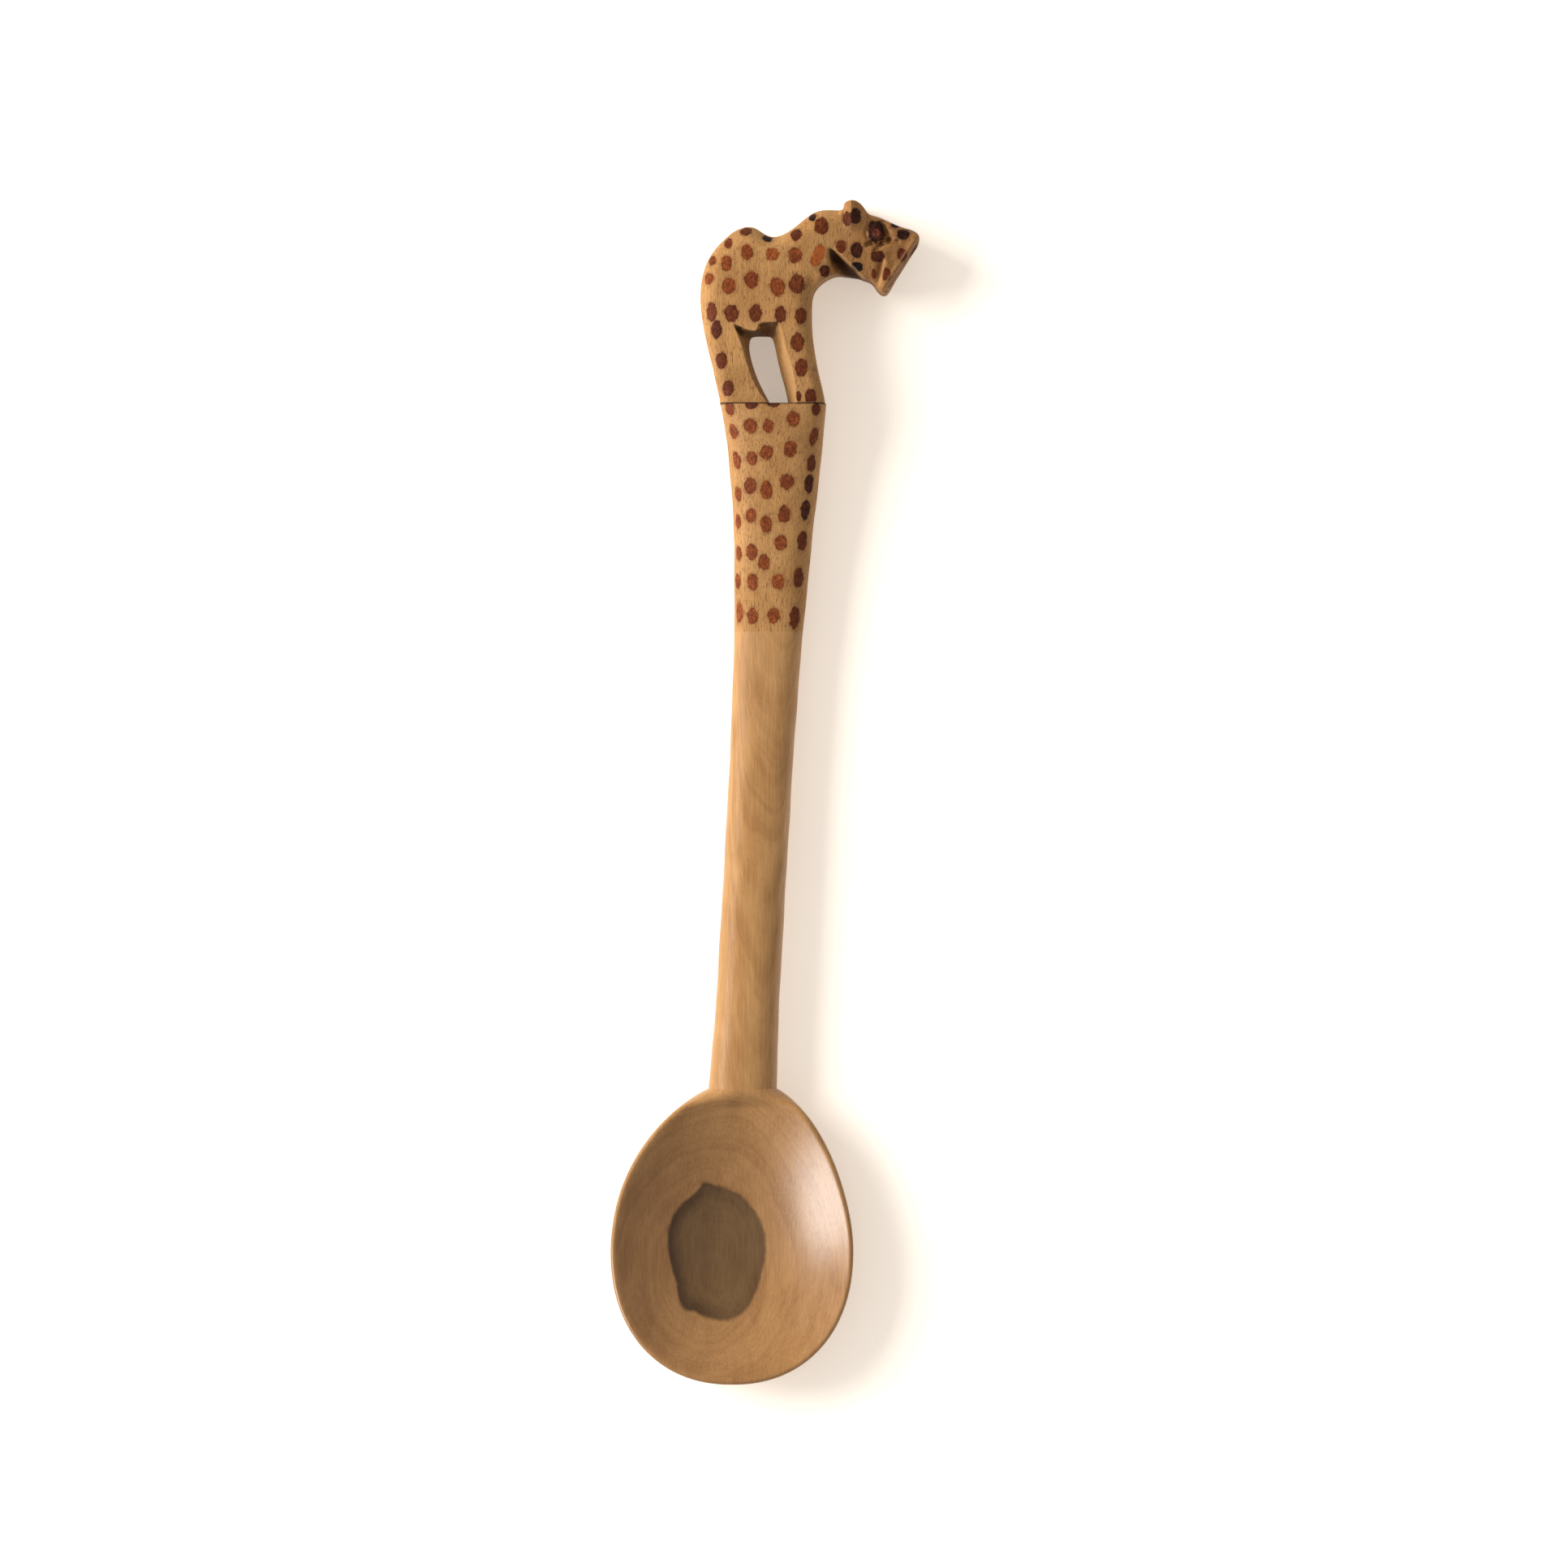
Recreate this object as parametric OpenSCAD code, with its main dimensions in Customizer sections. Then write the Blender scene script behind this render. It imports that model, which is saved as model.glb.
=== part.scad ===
// Carved wooden spoon whose handle ends in a standing spotted giraffe.
// The spoon lies on its back: +Y runs from the tip of the bowl to the animal's ears,
// +X is the way the animal faces, and +Z is up, out of the bowl.
// It is cut from one billet, and is drawn as the regions that the carver works one by one.
// Each region meets its neighbour on a shared plane, with the same section on both sides.

/* [Bowl] */
// Length of the bowl from its tip to the heel, where the handle starts
bowl_l = 75; // [62:1:90]
// Distance from the tip to the widest place
tip_l = 34; // [28:1:41]
// Width of the bowl over its rim
bowl_w = 61.6; // [50:0.2:74]
// Height of the rim above the table
rim_z = 14.4; // [12.4:0.2:18]
// Thickness of the rim
rim_t = 2.4; // [2:0.1:4]
// Depth of the hollow below the rim
hollow_d = 10; // [8:0.5:11.5]
// How far the bowl sits to one side of the handle's lower end
bowl_shift = 2.7; // [0:0.1:5]

/* [Handle] */
// Length of the handle from the heel to the animal's feet
handle_l = 173.6; // [140:0.2:210]
// Width of the handle at the heel
heel_w = 17.4; // [14:0.1:21]
// Width of the plain stem
stem_w = 16.2; // [13:0.1:20]
// Thickness of the plain stem
stem_t = 11.8; // [9.8:0.1:14.2]
// Width of the plinth under the animal
plinth_w = 26.8; // [24:0.1:33]
// Thickness of the plinth, which rests on the table
plinth_t = 22; // [19:0.1:27]
// Length of the spotted grip below the plinth
grip_l = 51; // [40:1:70]
// Height of the plinth
plinth_h = 6.6; // [4:0.1:10]
// Sideways drift of the handle from the heel to the plinth
sweep = 7.8; // [0:0.1:12]
// Belly of the handle's curve beyond that drift
bow = 2.1; // [0:0.1:4]

/* [Animal] */
// Height of the legs up to the belly
leg_h = 18.2; // [14:0.1:24]
// Space between the hind and fore legs at the belly
gap_l = 6; // [4.5:0.1:8]
// Space between the hind and fore feet
foot_gap_l = 4.4; // [3.4:0.1:7]
// Front to back size of a hind leg at the belly
hind_leg_w = 10.9; // [8:0.1:13]
// Front to back size of a fore leg at the belly
fore_leg_w = 9.9; // [8:0.1:12]
// Width of the cut between the right and left legs
slot_w = 4.4; // [2:0.1:6]
// Thickness of the animal's body, side to side
body_t = 20.6; // [17:0.1:21.6]
// Height of the body from the belly to the top of the rump
body_h = 26.6; // [22:0.1:32]
// How far the rump bulges behind the hind legs
rump_over = 1.5; // [0.8:0.1:3]
// Depth of the saddle behind the neck
saddle_d = 2.6; // [1:0.1:4]
// Rise of the neck's crest above the rump
crest_rise = 4.4; // [2:0.1:8]
// Reach of the neck from the chest to the head
neck_reach = 8.1; // [6:0.1:12]
// Length of the head from its back to the nose
head_l = 19.2; // [16:0.1:23]
// Height of the head from the crest to the chin
head_h = 21.5; // [19:0.1:24]
// Thickness of the head
head_t = 16.4; // [14:0.1:18]
// Thickness of the nose end
nose_t = 11; // [8:0.1:13]
// Rise of the ears above the crest
ear_rise = 2.1; // [1:0.1:4]
// Thickness of an ear
ear_t = 4; // [3:0.1:4.6]
// Width of an eye
eye_w = 4.2; // [3:0.1:5]
// Bulge of an eye
eye_bulge = 0.7; // [0.4:0.1:1.2]

/* [Hidden] */

wood = "burlywood";
spotted = "peru";
dark = "saddlebrown";

function clamp(v, low, high) = max(low, min(high, v));
function mix(a, b, t) = a + (b - a) * t;
function smooth(t) = let (c = clamp(t, 0, 1)) c * c * (3 - 2 * c);
// Superellipse: how high it stands at u, from 0 at its middle to 1 at its edge
function arch(u, power) = pow(max(0, 1 - pow(min(abs(u), 1), power)), 1 / power);
// The lower of two heights, with their corner rounded over k
function soft_min(a, b, k) = min(a, b) - pow(max(k - abs(a - b), 0), 2) / (4 * k);

// Solid through a list of sections with the same number of points, going anticlockwise
// about the way they follow each other; it ends on its last section, or on one tip point
module loft(rings, tip = []) {
    n = len(rings);
    m = len(rings[0]);
    last = (n - 1) * m;
    sides = [
        for (i = [0:n - 2], j = [0:m - 1])
            let (a = i * m + j, b = i * m + (j + 1) % m)
                each [[a, b + m, b], [a, a + m, b + m]]
    ];
    end = len(tip) == 0
        ? [[for (j = [m - 1:-1:0]) last + j]]
        : [for (j = [0:m - 1]) [last + j, n * m, last + (j + 1) % m]];
    polyhedron(
        concat([for (r = rings) each r], tip),
        concat([[for (j = [0:m - 1]) j]], sides, end)
    );
}

// Outline of a rectangle with rounded corners, with the radii in the order that
// the corners come: low a and low b, high a and low b, high both, low a and high b
corner_n = 5;
function rounded(a0, a1, b0, b1, r) = [
    for (c = [0:3], k = [0:corner_n - 1])
        let (
            sa = c == 1 || c == 2 ? 1 : -1,
            sb = c >= 2 ? 1 : -1,
            turn = 180 + 90 * c + 90 * k / (corner_n - 1)
        ) [
            (sa > 0 ? a1 : a0) + r[c] * (cos(turn) - sa),
            (sb > 0 ? b1 : b0) + r[c] * (sin(turn) - sb)
        ]
];

// ---- Heights and places of the animal, from the middle of the plinth's top ----
belly_y = leg_h;
back_y = belly_y + body_h;
saddle_y = back_y - saddle_d;
crest_y = back_y + crest_rise;
ear_y = crest_y + ear_rise;
chin_y = crest_y - head_h;
gap_x1 = -0.1;
gap_x0 = gap_x1 - gap_l;
chest_x = gap_x1 + fore_leg_w;
hip_x = gap_x0 - hind_leg_w;
rump_x = hip_x - rump_over;
poll_x = chest_x + neck_reach;
nose_x = poll_x + head_l;
jaw_x = mix(poll_x, nose_x, 0.55);

// ---- Places in the part's own frame: the middle of its box, on the table ----
total_l = bowl_l + handle_l + ear_y;
tip_y = -total_l / 2;
heel_y = tip_y + bowl_l;
feet_y = heel_y + handle_l;
wide_y = tip_y + tip_l;
lean = sweep + bowl_shift;
plinth_x = (bowl_w / 2 + lean - nose_x) / 2;
heel_x = plinth_x - sweep;
middle_z = plinth_t / 2;

// ---- Handle: a superellipse section carried along a bent line ----
stem_power = 2.2;
plinth_power = 3;
flare_power = 2.75;
flare_start = 0.345;
heel_run = 5;
turn_in = 10;
ring_n = 48;

function along(y) = (y - heel_y) / handle_l;
function flare(y) = pow(clamp((along(y) - flare_start) / (1 - flare_start), 0, 1), flare_power);
function half_w(y) =
    stem_w / 2 + (plinth_w - stem_w) / 2 * flare(y)
    + (heel_w - stem_w) / 2 * pow(clamp(1 - along(y) * heel_run, 0, 1), 2);
function half_t(y) = stem_t / 2 + (plinth_t - stem_t) / 2 * flare(y);
function axis_x(y) = heel_x + (sweep + bow) * along(y) - bow * pow(max(along(y), 0), turn_in);
function underside_z(y) = max(rim_z - stem_t, 0) * (1 - pow(clamp(along(y), 0, 1), 2));
function axis_z(y) = underside_z(y) + half_t(y);
function power_at(y) = mix(stem_power, plinth_power, smooth(along(y)));
function handle_z(u, side, y) = axis_z(y) + side * half_t(y) * arch(u, power_at(y));
// Place j on a section: its share of the way to the edge, and its side, top or bottom
function ring_u(j, power) =
    let (c = cos(360 * j / ring_n)) sign(c) * pow(abs(c), 2 / power);
function ring_side(j) = sign(round(1000 * sin(360 * j / ring_n)));
function handle_ring(y) = [
    for (j = [0:ring_n - 1])
        let (u = ring_u(j, power_at(y)))
            [axis_x(y) + half_w(y) * u, y, handle_z(u, ring_side(j), y)]
];

module handle_part(y0, y1, n) loft([for (i = [0:n]) handle_ring(mix(y1, y0, i / n))]);

// ---- Bowl: an egg outline, with a hollow and an underside that follow it ----
tip_power = 2.2;
heel_power = 1.85;
hollow_power = 2.2;
wall_power = 0.8;
rim_run = 1.5;
lip_k = 1;
keel_k = 2;
keel_l = 24;
foot_cut = 0.6;
blend_l = 5;
drift_l = 30;
bowl_a = bowl_w / 2;
heel_b = (heel_y - wide_y) / arch(heel_w / bowl_w, heel_power);
rim_s = 1 - rim_t / bowl_a;
hollow_s = 1 - rim_run * rim_t / bowl_a;
edge_z = rim_z - rim_t / 2;

function egg_power(y) = y > wide_y ? heel_power : tip_power;
function egg_v(y) = (y - wide_y) / (y > wide_y ? heel_b : tip_l);
function egg_half(y) = bowl_a * arch(egg_v(y), egg_power(y));
function bowl_x(y) = heel_x - bowl_shift * (1 - pow(1 - clamp((heel_y - y) / drift_l, 0, 1), 2));
// How far out a place is: 0 at the middle of the egg and 1 on its outline
function egg_s(u, y) =
    let (p = egg_power(y))
        pow(pow(abs(u) * arch(egg_v(y), p), p) + pow(abs(egg_v(y)), p), 1 / p);
function lip_z(s) = edge_z + rim_t / 2 * arch((s - rim_s) / (1 - rim_s) * (s > rim_s ? 1 : 0), 2);
function hollow_z(s) = rim_z - hollow_d * (1 - pow(s / hollow_s, hollow_power));
function inside_z(s) = s >= 1 ? edge_z : soft_min(lip_z(s), hollow_z(s), lip_k);
function outside_z(s) =
    max(0, edge_z - (edge_z + foot_cut) * pow(max(0, 1 - pow(min(s, 1), hollow_power)), wall_power));
// The handle's underside runs out below the bowl as a short keel
function keel_z(u, y) =
    let (k = abs(u) * egg_half(y) / half_w(heel_y), run_out = stem_t * pow((heel_y - y) / keel_l, 2))
        run_out + (k < 1 ? handle_z(k, -1, heel_y) : axis_z(heel_y) + 3 * (k - 1) * half_w(heel_y));
function bowl_z(u, side, y) =
    let (
        s = egg_s(u, y),
        carved = side > 0 ? inside_z(s)
            : side < 0 ? max(0, soft_min(outside_z(s), keel_z(u, y), keel_k))
            : edge_z
    ) mix(carved, handle_z(u, side, heel_y), smooth(1 - (heel_y - y) / blend_l));
function bowl_ring(y) = [
    for (j = [0:ring_n - 1])
        let (u = ring_u(j, stem_power), half = y >= heel_y ? half_w(heel_y) : egg_half(y))
            [bowl_x(y) + half * u, y, bowl_z(u, ring_side(j), y)]
];
heel_n = 24;
tip_n = 19;
bowl_ys = concat(
    [for (i = [0:heel_n - 1]) mix(heel_y, wide_y, pow(i / heel_n, 1.4))],
    [for (i = [0:tip_n - 1]) wide_y - tip_l * sin(90 * i / tip_n)]
);

module bowl() color(wood) loft([for (y = bowl_ys) bowl_ring(y)], [[bowl_x(tip_y), tip_y, edge_z]]);
module stem() color(wood) handle_part(heel_y, feet_y - plinth_h - grip_l, 24);
module grip() color(spotted) handle_part(feet_y - plinth_h - grip_l, feet_y - plinth_h, 18);
module plinth() color(spotted) handle_part(feet_y - plinth_h, feet_y, 4);

// ---- Trunk, neck and head: rounded sections carried along X ----
body_z = body_t / 2;
head_z = head_t / 2;
nose_z = nose_t / 2;
neck_z = mix(body_z, head_z, 0.6);
rump_top_x = mix(gap_x0, rump_x, 0.04);
rump_end_y = belly_y + body_h * 0.44;
rump_low_y = belly_y + body_h * 0.2;
rump_power = 1.8;
rump_z_share = 0.45;
saddle_x = gap_x1 + 0.1;
crest_x = mix(chest_x, poll_x, 0.35);
throat_y = mix(chin_y, crest_y, 0.235);
neck_low_y = mix(chin_y, crest_y, 0.01);
throat_power = 2.6;
cheek_drop = 1.6;
cheek_share = 0.6;
brow_drop = 2.8;
brow_share = 0.56;
brow_power = 0.6;
nose_drop = 3;
nose_low_y = mix(chin_y, crest_y, 0.59);
back_r = 4.5;
head_r = 2.6;
square_r = 0.6;
low_r = 3;

function neck_t(x) = (x - chest_x) / neck_reach;
function head_s(x) = (x - poll_x) / (jaw_x - poll_x);
function muzzle_s(x) = (x - jaw_x) / (nose_x - jaw_x);
function brow_y(t) = crest_y - brow_drop * pow(clamp((t - brow_share) / (1 - brow_share), 0, 1), brow_power);

function top_y(x) =
    x < rump_top_x ? mix(rump_end_y, back_y, arch((rump_top_x - x) / (rump_top_x - rump_x), rump_power))
    : x < saddle_x ? back_y - saddle_d * smooth((x - rump_top_x) / (saddle_x - rump_top_x))
    : x < poll_x ? mix(saddle_y, crest_y, smooth((x - saddle_x) / (crest_x - saddle_x)))
    : x < jaw_x ? brow_y(head_s(x))
    : brow_y(1) - nose_drop * muzzle_s(x);
function trunk_low_y(x) = x < hip_x ? mix(belly_y, rump_low_y, pow((hip_x - x) / rump_over, 2)) : belly_y;
function head_low_y(x) =
    x < poll_x ? throat_y - (throat_y - neck_low_y) * pow(1 - neck_t(x), throat_power)
    : x < jaw_x ? let (cheek_y = throat_y - cheek_drop * min(head_s(x) / cheek_share, 1))
        mix(cheek_y, chin_y, smooth((head_s(x) - cheek_share) / (1 - cheek_share)))
    : mix(chin_y, nose_low_y, muzzle_s(x));
function trunk_z(x) =
    x < rump_top_x ? body_z * mix(rump_z_share, 1, arch((rump_top_x - x) / (rump_top_x - rump_x), 2.4))
    : body_z;
function head_side_z(x) =
    x < poll_x ? mix(neck_z, head_z, smooth(neck_t(x)))
    : x < jaw_x ? head_z
    : mix(head_z, nose_z, muzzle_s(x));

function x_ring(x, y0, y1, z, low, high) =
    let (high_r = min(high, z * 0.8, (y1 - y0) * 0.45), r = min(low, z * 0.8, (y1 - y0) * 0.45))
        [for (p = rounded(y0, y1, -z, z, [r, high_r, high_r, r])) [x, p[0], p[1]]];
function trunk_ring(x) =
    x_ring(x, trunk_low_y(x), top_y(x), trunk_z(x), square_r + 1.6 * max(hip_x - x, 0), back_r);
function head_ring(x) =
    x_ring(x, head_low_y(x), top_y(x), head_side_z(x), low_r, mix(back_r, head_r, clamp(neck_t(x), 0, 1)));

module on_plinth() translate([plinth_x, feet_y, middle_z]) children();
module trunk_part(xs) on_plinth() loft([for (x = xs) trunk_ring(x)]);
module head_part(x0, x1, n) on_plinth() loft([for (i = [0:n]) head_ring(mix(x0, x1, i / n))]);
function spread(x0, x1, n) = [for (i = [0:n]) mix(x0, x1, i / n)];

rump_n = 9;
module rump() color(spotted) trunk_part(concat(
    [for (i = [0:rump_n - 1]) mix(rump_x, rump_top_x, 1 - cos(90 * i / rump_n))],
    [rump_top_x, gap_x0]
));
module barrel() color(spotted) trunk_part(spread(gap_x0, gap_x1, 5));
module shoulder() color(spotted) trunk_part(spread(gap_x1, chest_x, 8));
module neck() color(spotted) head_part(chest_x, poll_x, 8);
module head() color(spotted) head_part(poll_x, jaw_x, 12);
module muzzle() color(spotted) head_part(jaw_x, nose_x, 6);

// ---- Legs: rounded sections carried up from the plinth to the belly ----
foot_in = 0.7;
foot_corner = 4.4;
foot_z = middle_z - 1.4;
foot_x = plinth_w / 2 - foot_in;
foot_gap_x = 1.2;
knife_r = 2;
leg_n = 6;

// The edges of a leg that face the space between the legs and the end of the animal,
// t being the share of the way up from the plinth to the belly
function hind_inner(t) = mix(foot_gap_x - foot_gap_l / 2, gap_x0, 1 - pow(1 - t, 2));
function hind_outer(t) = mix(-foot_x, hip_x, t);
function fore_inner(t) = mix(foot_gap_x + foot_gap_l / 2, gap_x1, smooth(t));
function fore_outer(t) = mix(foot_x, chest_x, 1 - pow(1 - t, 1.4));
function leg_z(t) = mix(foot_z, body_z - square_r, smooth(t * 2));
function leg_ring(t, x0, x1, r0, r1) = [
    for (p = rounded(slot_w / 2, leg_z(t), x0, x1, [square_r, r0, r1, square_r]))
        [p[1], t * leg_h, p[0]]
];
function hind_ring(t) =
    leg_ring(t, hind_outer(t), hind_inner(t), mix(foot_corner, knife_r, t), knife_r);
function fore_ring(t) =
    leg_ring(t, fore_inner(t), fore_outer(t), knife_r, mix(foot_corner, knife_r, t));
module side(right) mirror([0, 0, right ? 0 : 1]) children();
module hind_leg(right) color(spotted) on_plinth() side(right)
    loft([for (i = [0:leg_n]) hind_ring(i / leg_n)]);
module fore_leg(right) color(spotted) on_plinth() side(right)
    loft([for (i = [0:leg_n]) fore_ring(i / leg_n)]);

// ---- Ears on the flat of the head's top, and eyes on its sides ----
ear_x0 = mix(poll_x, jaw_x, 0.03);
ear_x1 = mix(poll_x, jaw_x, 0.54);
ear_z0 = 1.5;
ear_r = 1;
// Share of the ear's rise, and how far its front has come back
ear_steps = [[0, 0], [0.4, 0.08], [0.75, 0.3], [1, 0.55]];
function ear_ring(step) =
    let (
        draw_in = step[0] * 0.7,
        front = mix(ear_x1, ear_x0, step[1])
    ) [
        for (p = rounded(
            ear_z0 + draw_in, ear_z0 + ear_t - draw_in, ear_x0 + draw_in * 0.6, front,
            [ear_r, ear_r, ear_r, ear_r] * (1 - 0.6 * step[0])
        )) [p[1], mix(crest_y, ear_y, step[0]), p[0]]
    ];
module ear(right) color(spotted) on_plinth() side(right) loft([for (step = ear_steps) ear_ring(step)]);

eye_h = eye_w * 1.3;
eye_x = jaw_x - eye_w / 2 - 0.2;
eye_y = brow_y(1) - head_r - eye_h / 2 + 1;
eye_n = 20;
eye_levels = [0, 25, 50, 75];
function eye_ring(level) = [
    for (j = [0:eye_n - 1])
        let (turn = 360 * j / eye_n) [
            eye_x + eye_w / 2 * cos(level) * cos(turn),
            eye_y + eye_h / 2 * cos(level) * sin(turn),
            head_z + eye_bulge * sin(level) / sin(eye_levels[3])
        ]
];
module eye(right) color(dark) on_plinth() side(right) loft([for (level = eye_levels) eye_ring(level)]);

bowl();
stem();
grip();
plinth();
hind_leg(true);  // hind_leg_right
hind_leg(false);  // hind_leg_left
fore_leg(true);  // fore_leg_right
fore_leg(false);  // fore_leg_left
rump();
barrel();
shoulder();
neck();
head();
muzzle();
ear(true);  // ear_right
ear(false);  // ear_left
eye(true);  // eye_right
eye(false);  // eye_left
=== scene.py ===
# %% [markdown]
# # A carved spoon with a spotted giraffe on its handle
# The real spoon is one billet of pale brown wood. A carver hollows the bowl, draws the handle down to a
# slender stem, and whittles a small giraffe on the handle's end. The bowl and stem are oiled and rubbed;
# the grip and the animal are left matte and dotted with burned, reddish-brown spots.
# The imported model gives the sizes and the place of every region. Here each region gets its carved surface.

# %% Load the frame
import math

import bmesh
import bpy
import numpy as np
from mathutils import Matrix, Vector


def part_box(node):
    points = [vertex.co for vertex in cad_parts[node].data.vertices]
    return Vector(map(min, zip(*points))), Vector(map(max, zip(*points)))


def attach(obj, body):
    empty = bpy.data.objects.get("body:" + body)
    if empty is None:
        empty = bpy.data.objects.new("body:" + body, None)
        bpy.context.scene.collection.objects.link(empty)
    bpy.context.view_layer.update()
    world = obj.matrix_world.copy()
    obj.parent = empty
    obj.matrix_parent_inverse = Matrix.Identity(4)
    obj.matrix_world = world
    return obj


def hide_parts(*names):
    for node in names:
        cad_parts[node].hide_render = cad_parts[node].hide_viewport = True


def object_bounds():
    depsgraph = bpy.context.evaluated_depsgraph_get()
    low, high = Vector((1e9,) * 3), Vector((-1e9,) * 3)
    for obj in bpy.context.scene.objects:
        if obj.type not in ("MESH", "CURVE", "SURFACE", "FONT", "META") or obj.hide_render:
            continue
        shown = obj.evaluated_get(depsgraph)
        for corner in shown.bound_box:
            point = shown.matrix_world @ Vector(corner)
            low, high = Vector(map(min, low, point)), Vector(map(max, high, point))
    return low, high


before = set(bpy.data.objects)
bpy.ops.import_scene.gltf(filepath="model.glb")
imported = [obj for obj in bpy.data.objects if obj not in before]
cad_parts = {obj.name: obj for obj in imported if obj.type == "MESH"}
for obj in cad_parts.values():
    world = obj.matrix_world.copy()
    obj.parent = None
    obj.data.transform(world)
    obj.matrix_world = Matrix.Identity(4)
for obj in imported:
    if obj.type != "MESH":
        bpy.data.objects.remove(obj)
CAD_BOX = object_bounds()
MM = 0.001


def corners(node):
    """Lowest and highest corner of a region, in millimetres."""
    low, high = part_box(node)
    return np.array(low) / MM, np.array(high) / MM


BOWL_LO, BOWL_HI = corners("bowl")
STEM_LO, STEM_HI = corners("stem")
GRIP_LO, GRIP_HI = corners("grip")
PLINTH_LO, PLINTH_HI = corners("plinth")
print("spoon is", [round((b - a) / MM, 1) for a, b in zip(*CAD_BOX)], "mm")

# %% [markdown]
# ## Camera
# The spoon lies on its back and is seen from straight above, about two metres away, so the camera looks
# down Z with the animal at the top. The lens is long, so the raised edges aren't spread outwards.

# %% Camera
CENTRE = [(a + b) / 2 for a, b in zip(*CAD_BOX)]
camera = bpy.data.objects.new("camera", bpy.data.cameras.new("camera"))
bpy.context.scene.collection.objects.link(camera)
camera.location = (CENTRE[0] + 0.0048, CENTRE[1] + 0.0024, 2.012)
camera.data.sensor_width = 36
camera.data.angle = 2 * math.atan(0.1989 / 2.0)
bpy.context.scene.camera = camera
print("camera looks down from", [round(v, 3) for v in camera.location])

# %% [markdown]
# ## Making a piece from arrays
# Every region is a closed mesh worked out in millimetres. One helper turns arrays of points and faces
# into a Blender object, with its smooth normals and with numbers that the materials read at each point,
# such as how far a place is from the nearest spot.

# %% Helper that makes a piece


def make_piece(name, points, faces, normals, nodes, numbers=None):
    """Closed mesh from points (millimetres) and faces. normals has one direction for each face corner.
    numbers maps an attribute's name to one value for each point."""
    mesh = bpy.data.meshes.new(name)
    mesh.from_pydata((points * MM).tolist(), [], faces)
    mesh.polygons.foreach_set("use_smooth", [True] * len(mesh.polygons))
    for key, values in (numbers or {}).items():
        layer = mesh.attributes.new(key, "FLOAT", "POINT")
        layer.data.foreach_set("value", np.ascontiguousarray(values, dtype=np.float32))
    mesh.update()
    mesh.normals_split_custom_set(normals.tolist())
    piece = bpy.data.objects.new(name, mesh)
    bpy.context.scene.collection.objects.link(piece)
    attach(piece, "root")
    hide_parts(*nodes)
    print(name, len(mesh.vertices), "points", len(mesh.polygons), "faces")
    return piece


def smooth(t):
    """Rises from 0 to 1 with level ends: 3t squared minus 2t cubed."""
    t = np.clip(t, 0, 1)
    return t * t * (3 - 2 * t)


def mix(a, b, t):
    """a where t is 0 and b where t is 1."""
    return a + (b - a) * t


def unit(v):
    """The same directions with length 1."""
    return v / np.maximum(np.linalg.norm(v, axis=-1, keepdims=True), 1e-12)


def superellipse(t, power):
    """Cosine or sine t bent to a squarer curve: sign of t times |t| to the power 2 / power."""
    return np.sign(t) * np.abs(t) ** (2 / power)


# %% [markdown]
# ## Handle
# On the real spoon the stem, the grip and the plinth under the animal are one run of wood. Its section
# is an oval that grows squarer and wider towards the animal, and its line bends gently sideways. So a
# point on it is a function of two parameters: a turn round the section, and a place along the handle.

# %% Handle as a function of turn and place
HEEL_Y, FEET_Y = STEM_LO[1], PLINTH_HI[1]
PLINTH_X = (PLINTH_LO[0] + PLINTH_HI[0]) / 2
MIDDLE_Z = PLINTH_HI[2] / 2
RIM_Z = BOWL_HI[2]
HEEL_W, STEM_W, STEM_T = 17.4, 16.2, 11.8
PLINTH_W, PLINTH_T = PLINTH_HI[0] - PLINTH_LO[0], PLINTH_HI[2]
SWEEP, BOW = 7.8, 2.1
HEEL_X = PLINTH_X - SWEEP


def handle_line(y):
    """Middle, half width, half thickness and squareness of the handle's section at y."""
    t = (y - HEEL_Y) / (FEET_Y - HEEL_Y)
    flare = np.clip((t - 0.345) / 0.655, 0, 1) ** 2.75
    half_w = (STEM_W / 2 + (PLINTH_W - STEM_W) / 2 * flare
              + (HEEL_W - STEM_W) / 2 * np.clip(1 - 5 * t, 0, 1) ** 2)
    half_t = STEM_T / 2 + (PLINTH_T - STEM_T) / 2 * flare
    x = HEEL_X + (SWEEP + BOW) * t - BOW * np.clip(t, 0, 1) ** 10
    z = (RIM_Z - STEM_T) * (1 - np.clip(t, 0, 1) ** 2) + half_t
    power = mix(2.2, 3.0, smooth(t)) + 1.2 * smooth((t - 0.93) / 0.07)
    return x, z, half_w, half_t, power


def handle_surface(turn, y):
    """Superellipse section at y, with a slight unevenness from the knife that fades at both ends."""
    x, z, half_w, half_t, power = handle_line(y)
    t = (y - HEEL_Y) / (FEET_Y - HEEL_Y)
    hand = smooth(t * 12) * smooth((1 - t) * 12)
    wave = 0.006 * np.sin(0.21 * y + 2 * turn) + 0.004 * np.sin(0.47 * y - 3 * turn + 1)
    uneven = 1 - hand * (0.010 + wave)
    return np.stack([
        x + half_w * superellipse(np.cos(turn), power) * uneven,
        y + 0 * turn,
        z + half_t * superellipse(np.sin(turn), power) * uneven,
    ], axis=-1)


# %% [markdown]
# ## Bowl
# The bowl's outline is an egg. How far out a place is, 0 in the middle and 1 on the outline, sets the
# height of both faces: the hollow inside, the rounded lip, and the belly underneath. Near the heel both
# faces melt into the handle's section. Again a turn and a place along the spoon are enough.

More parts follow.
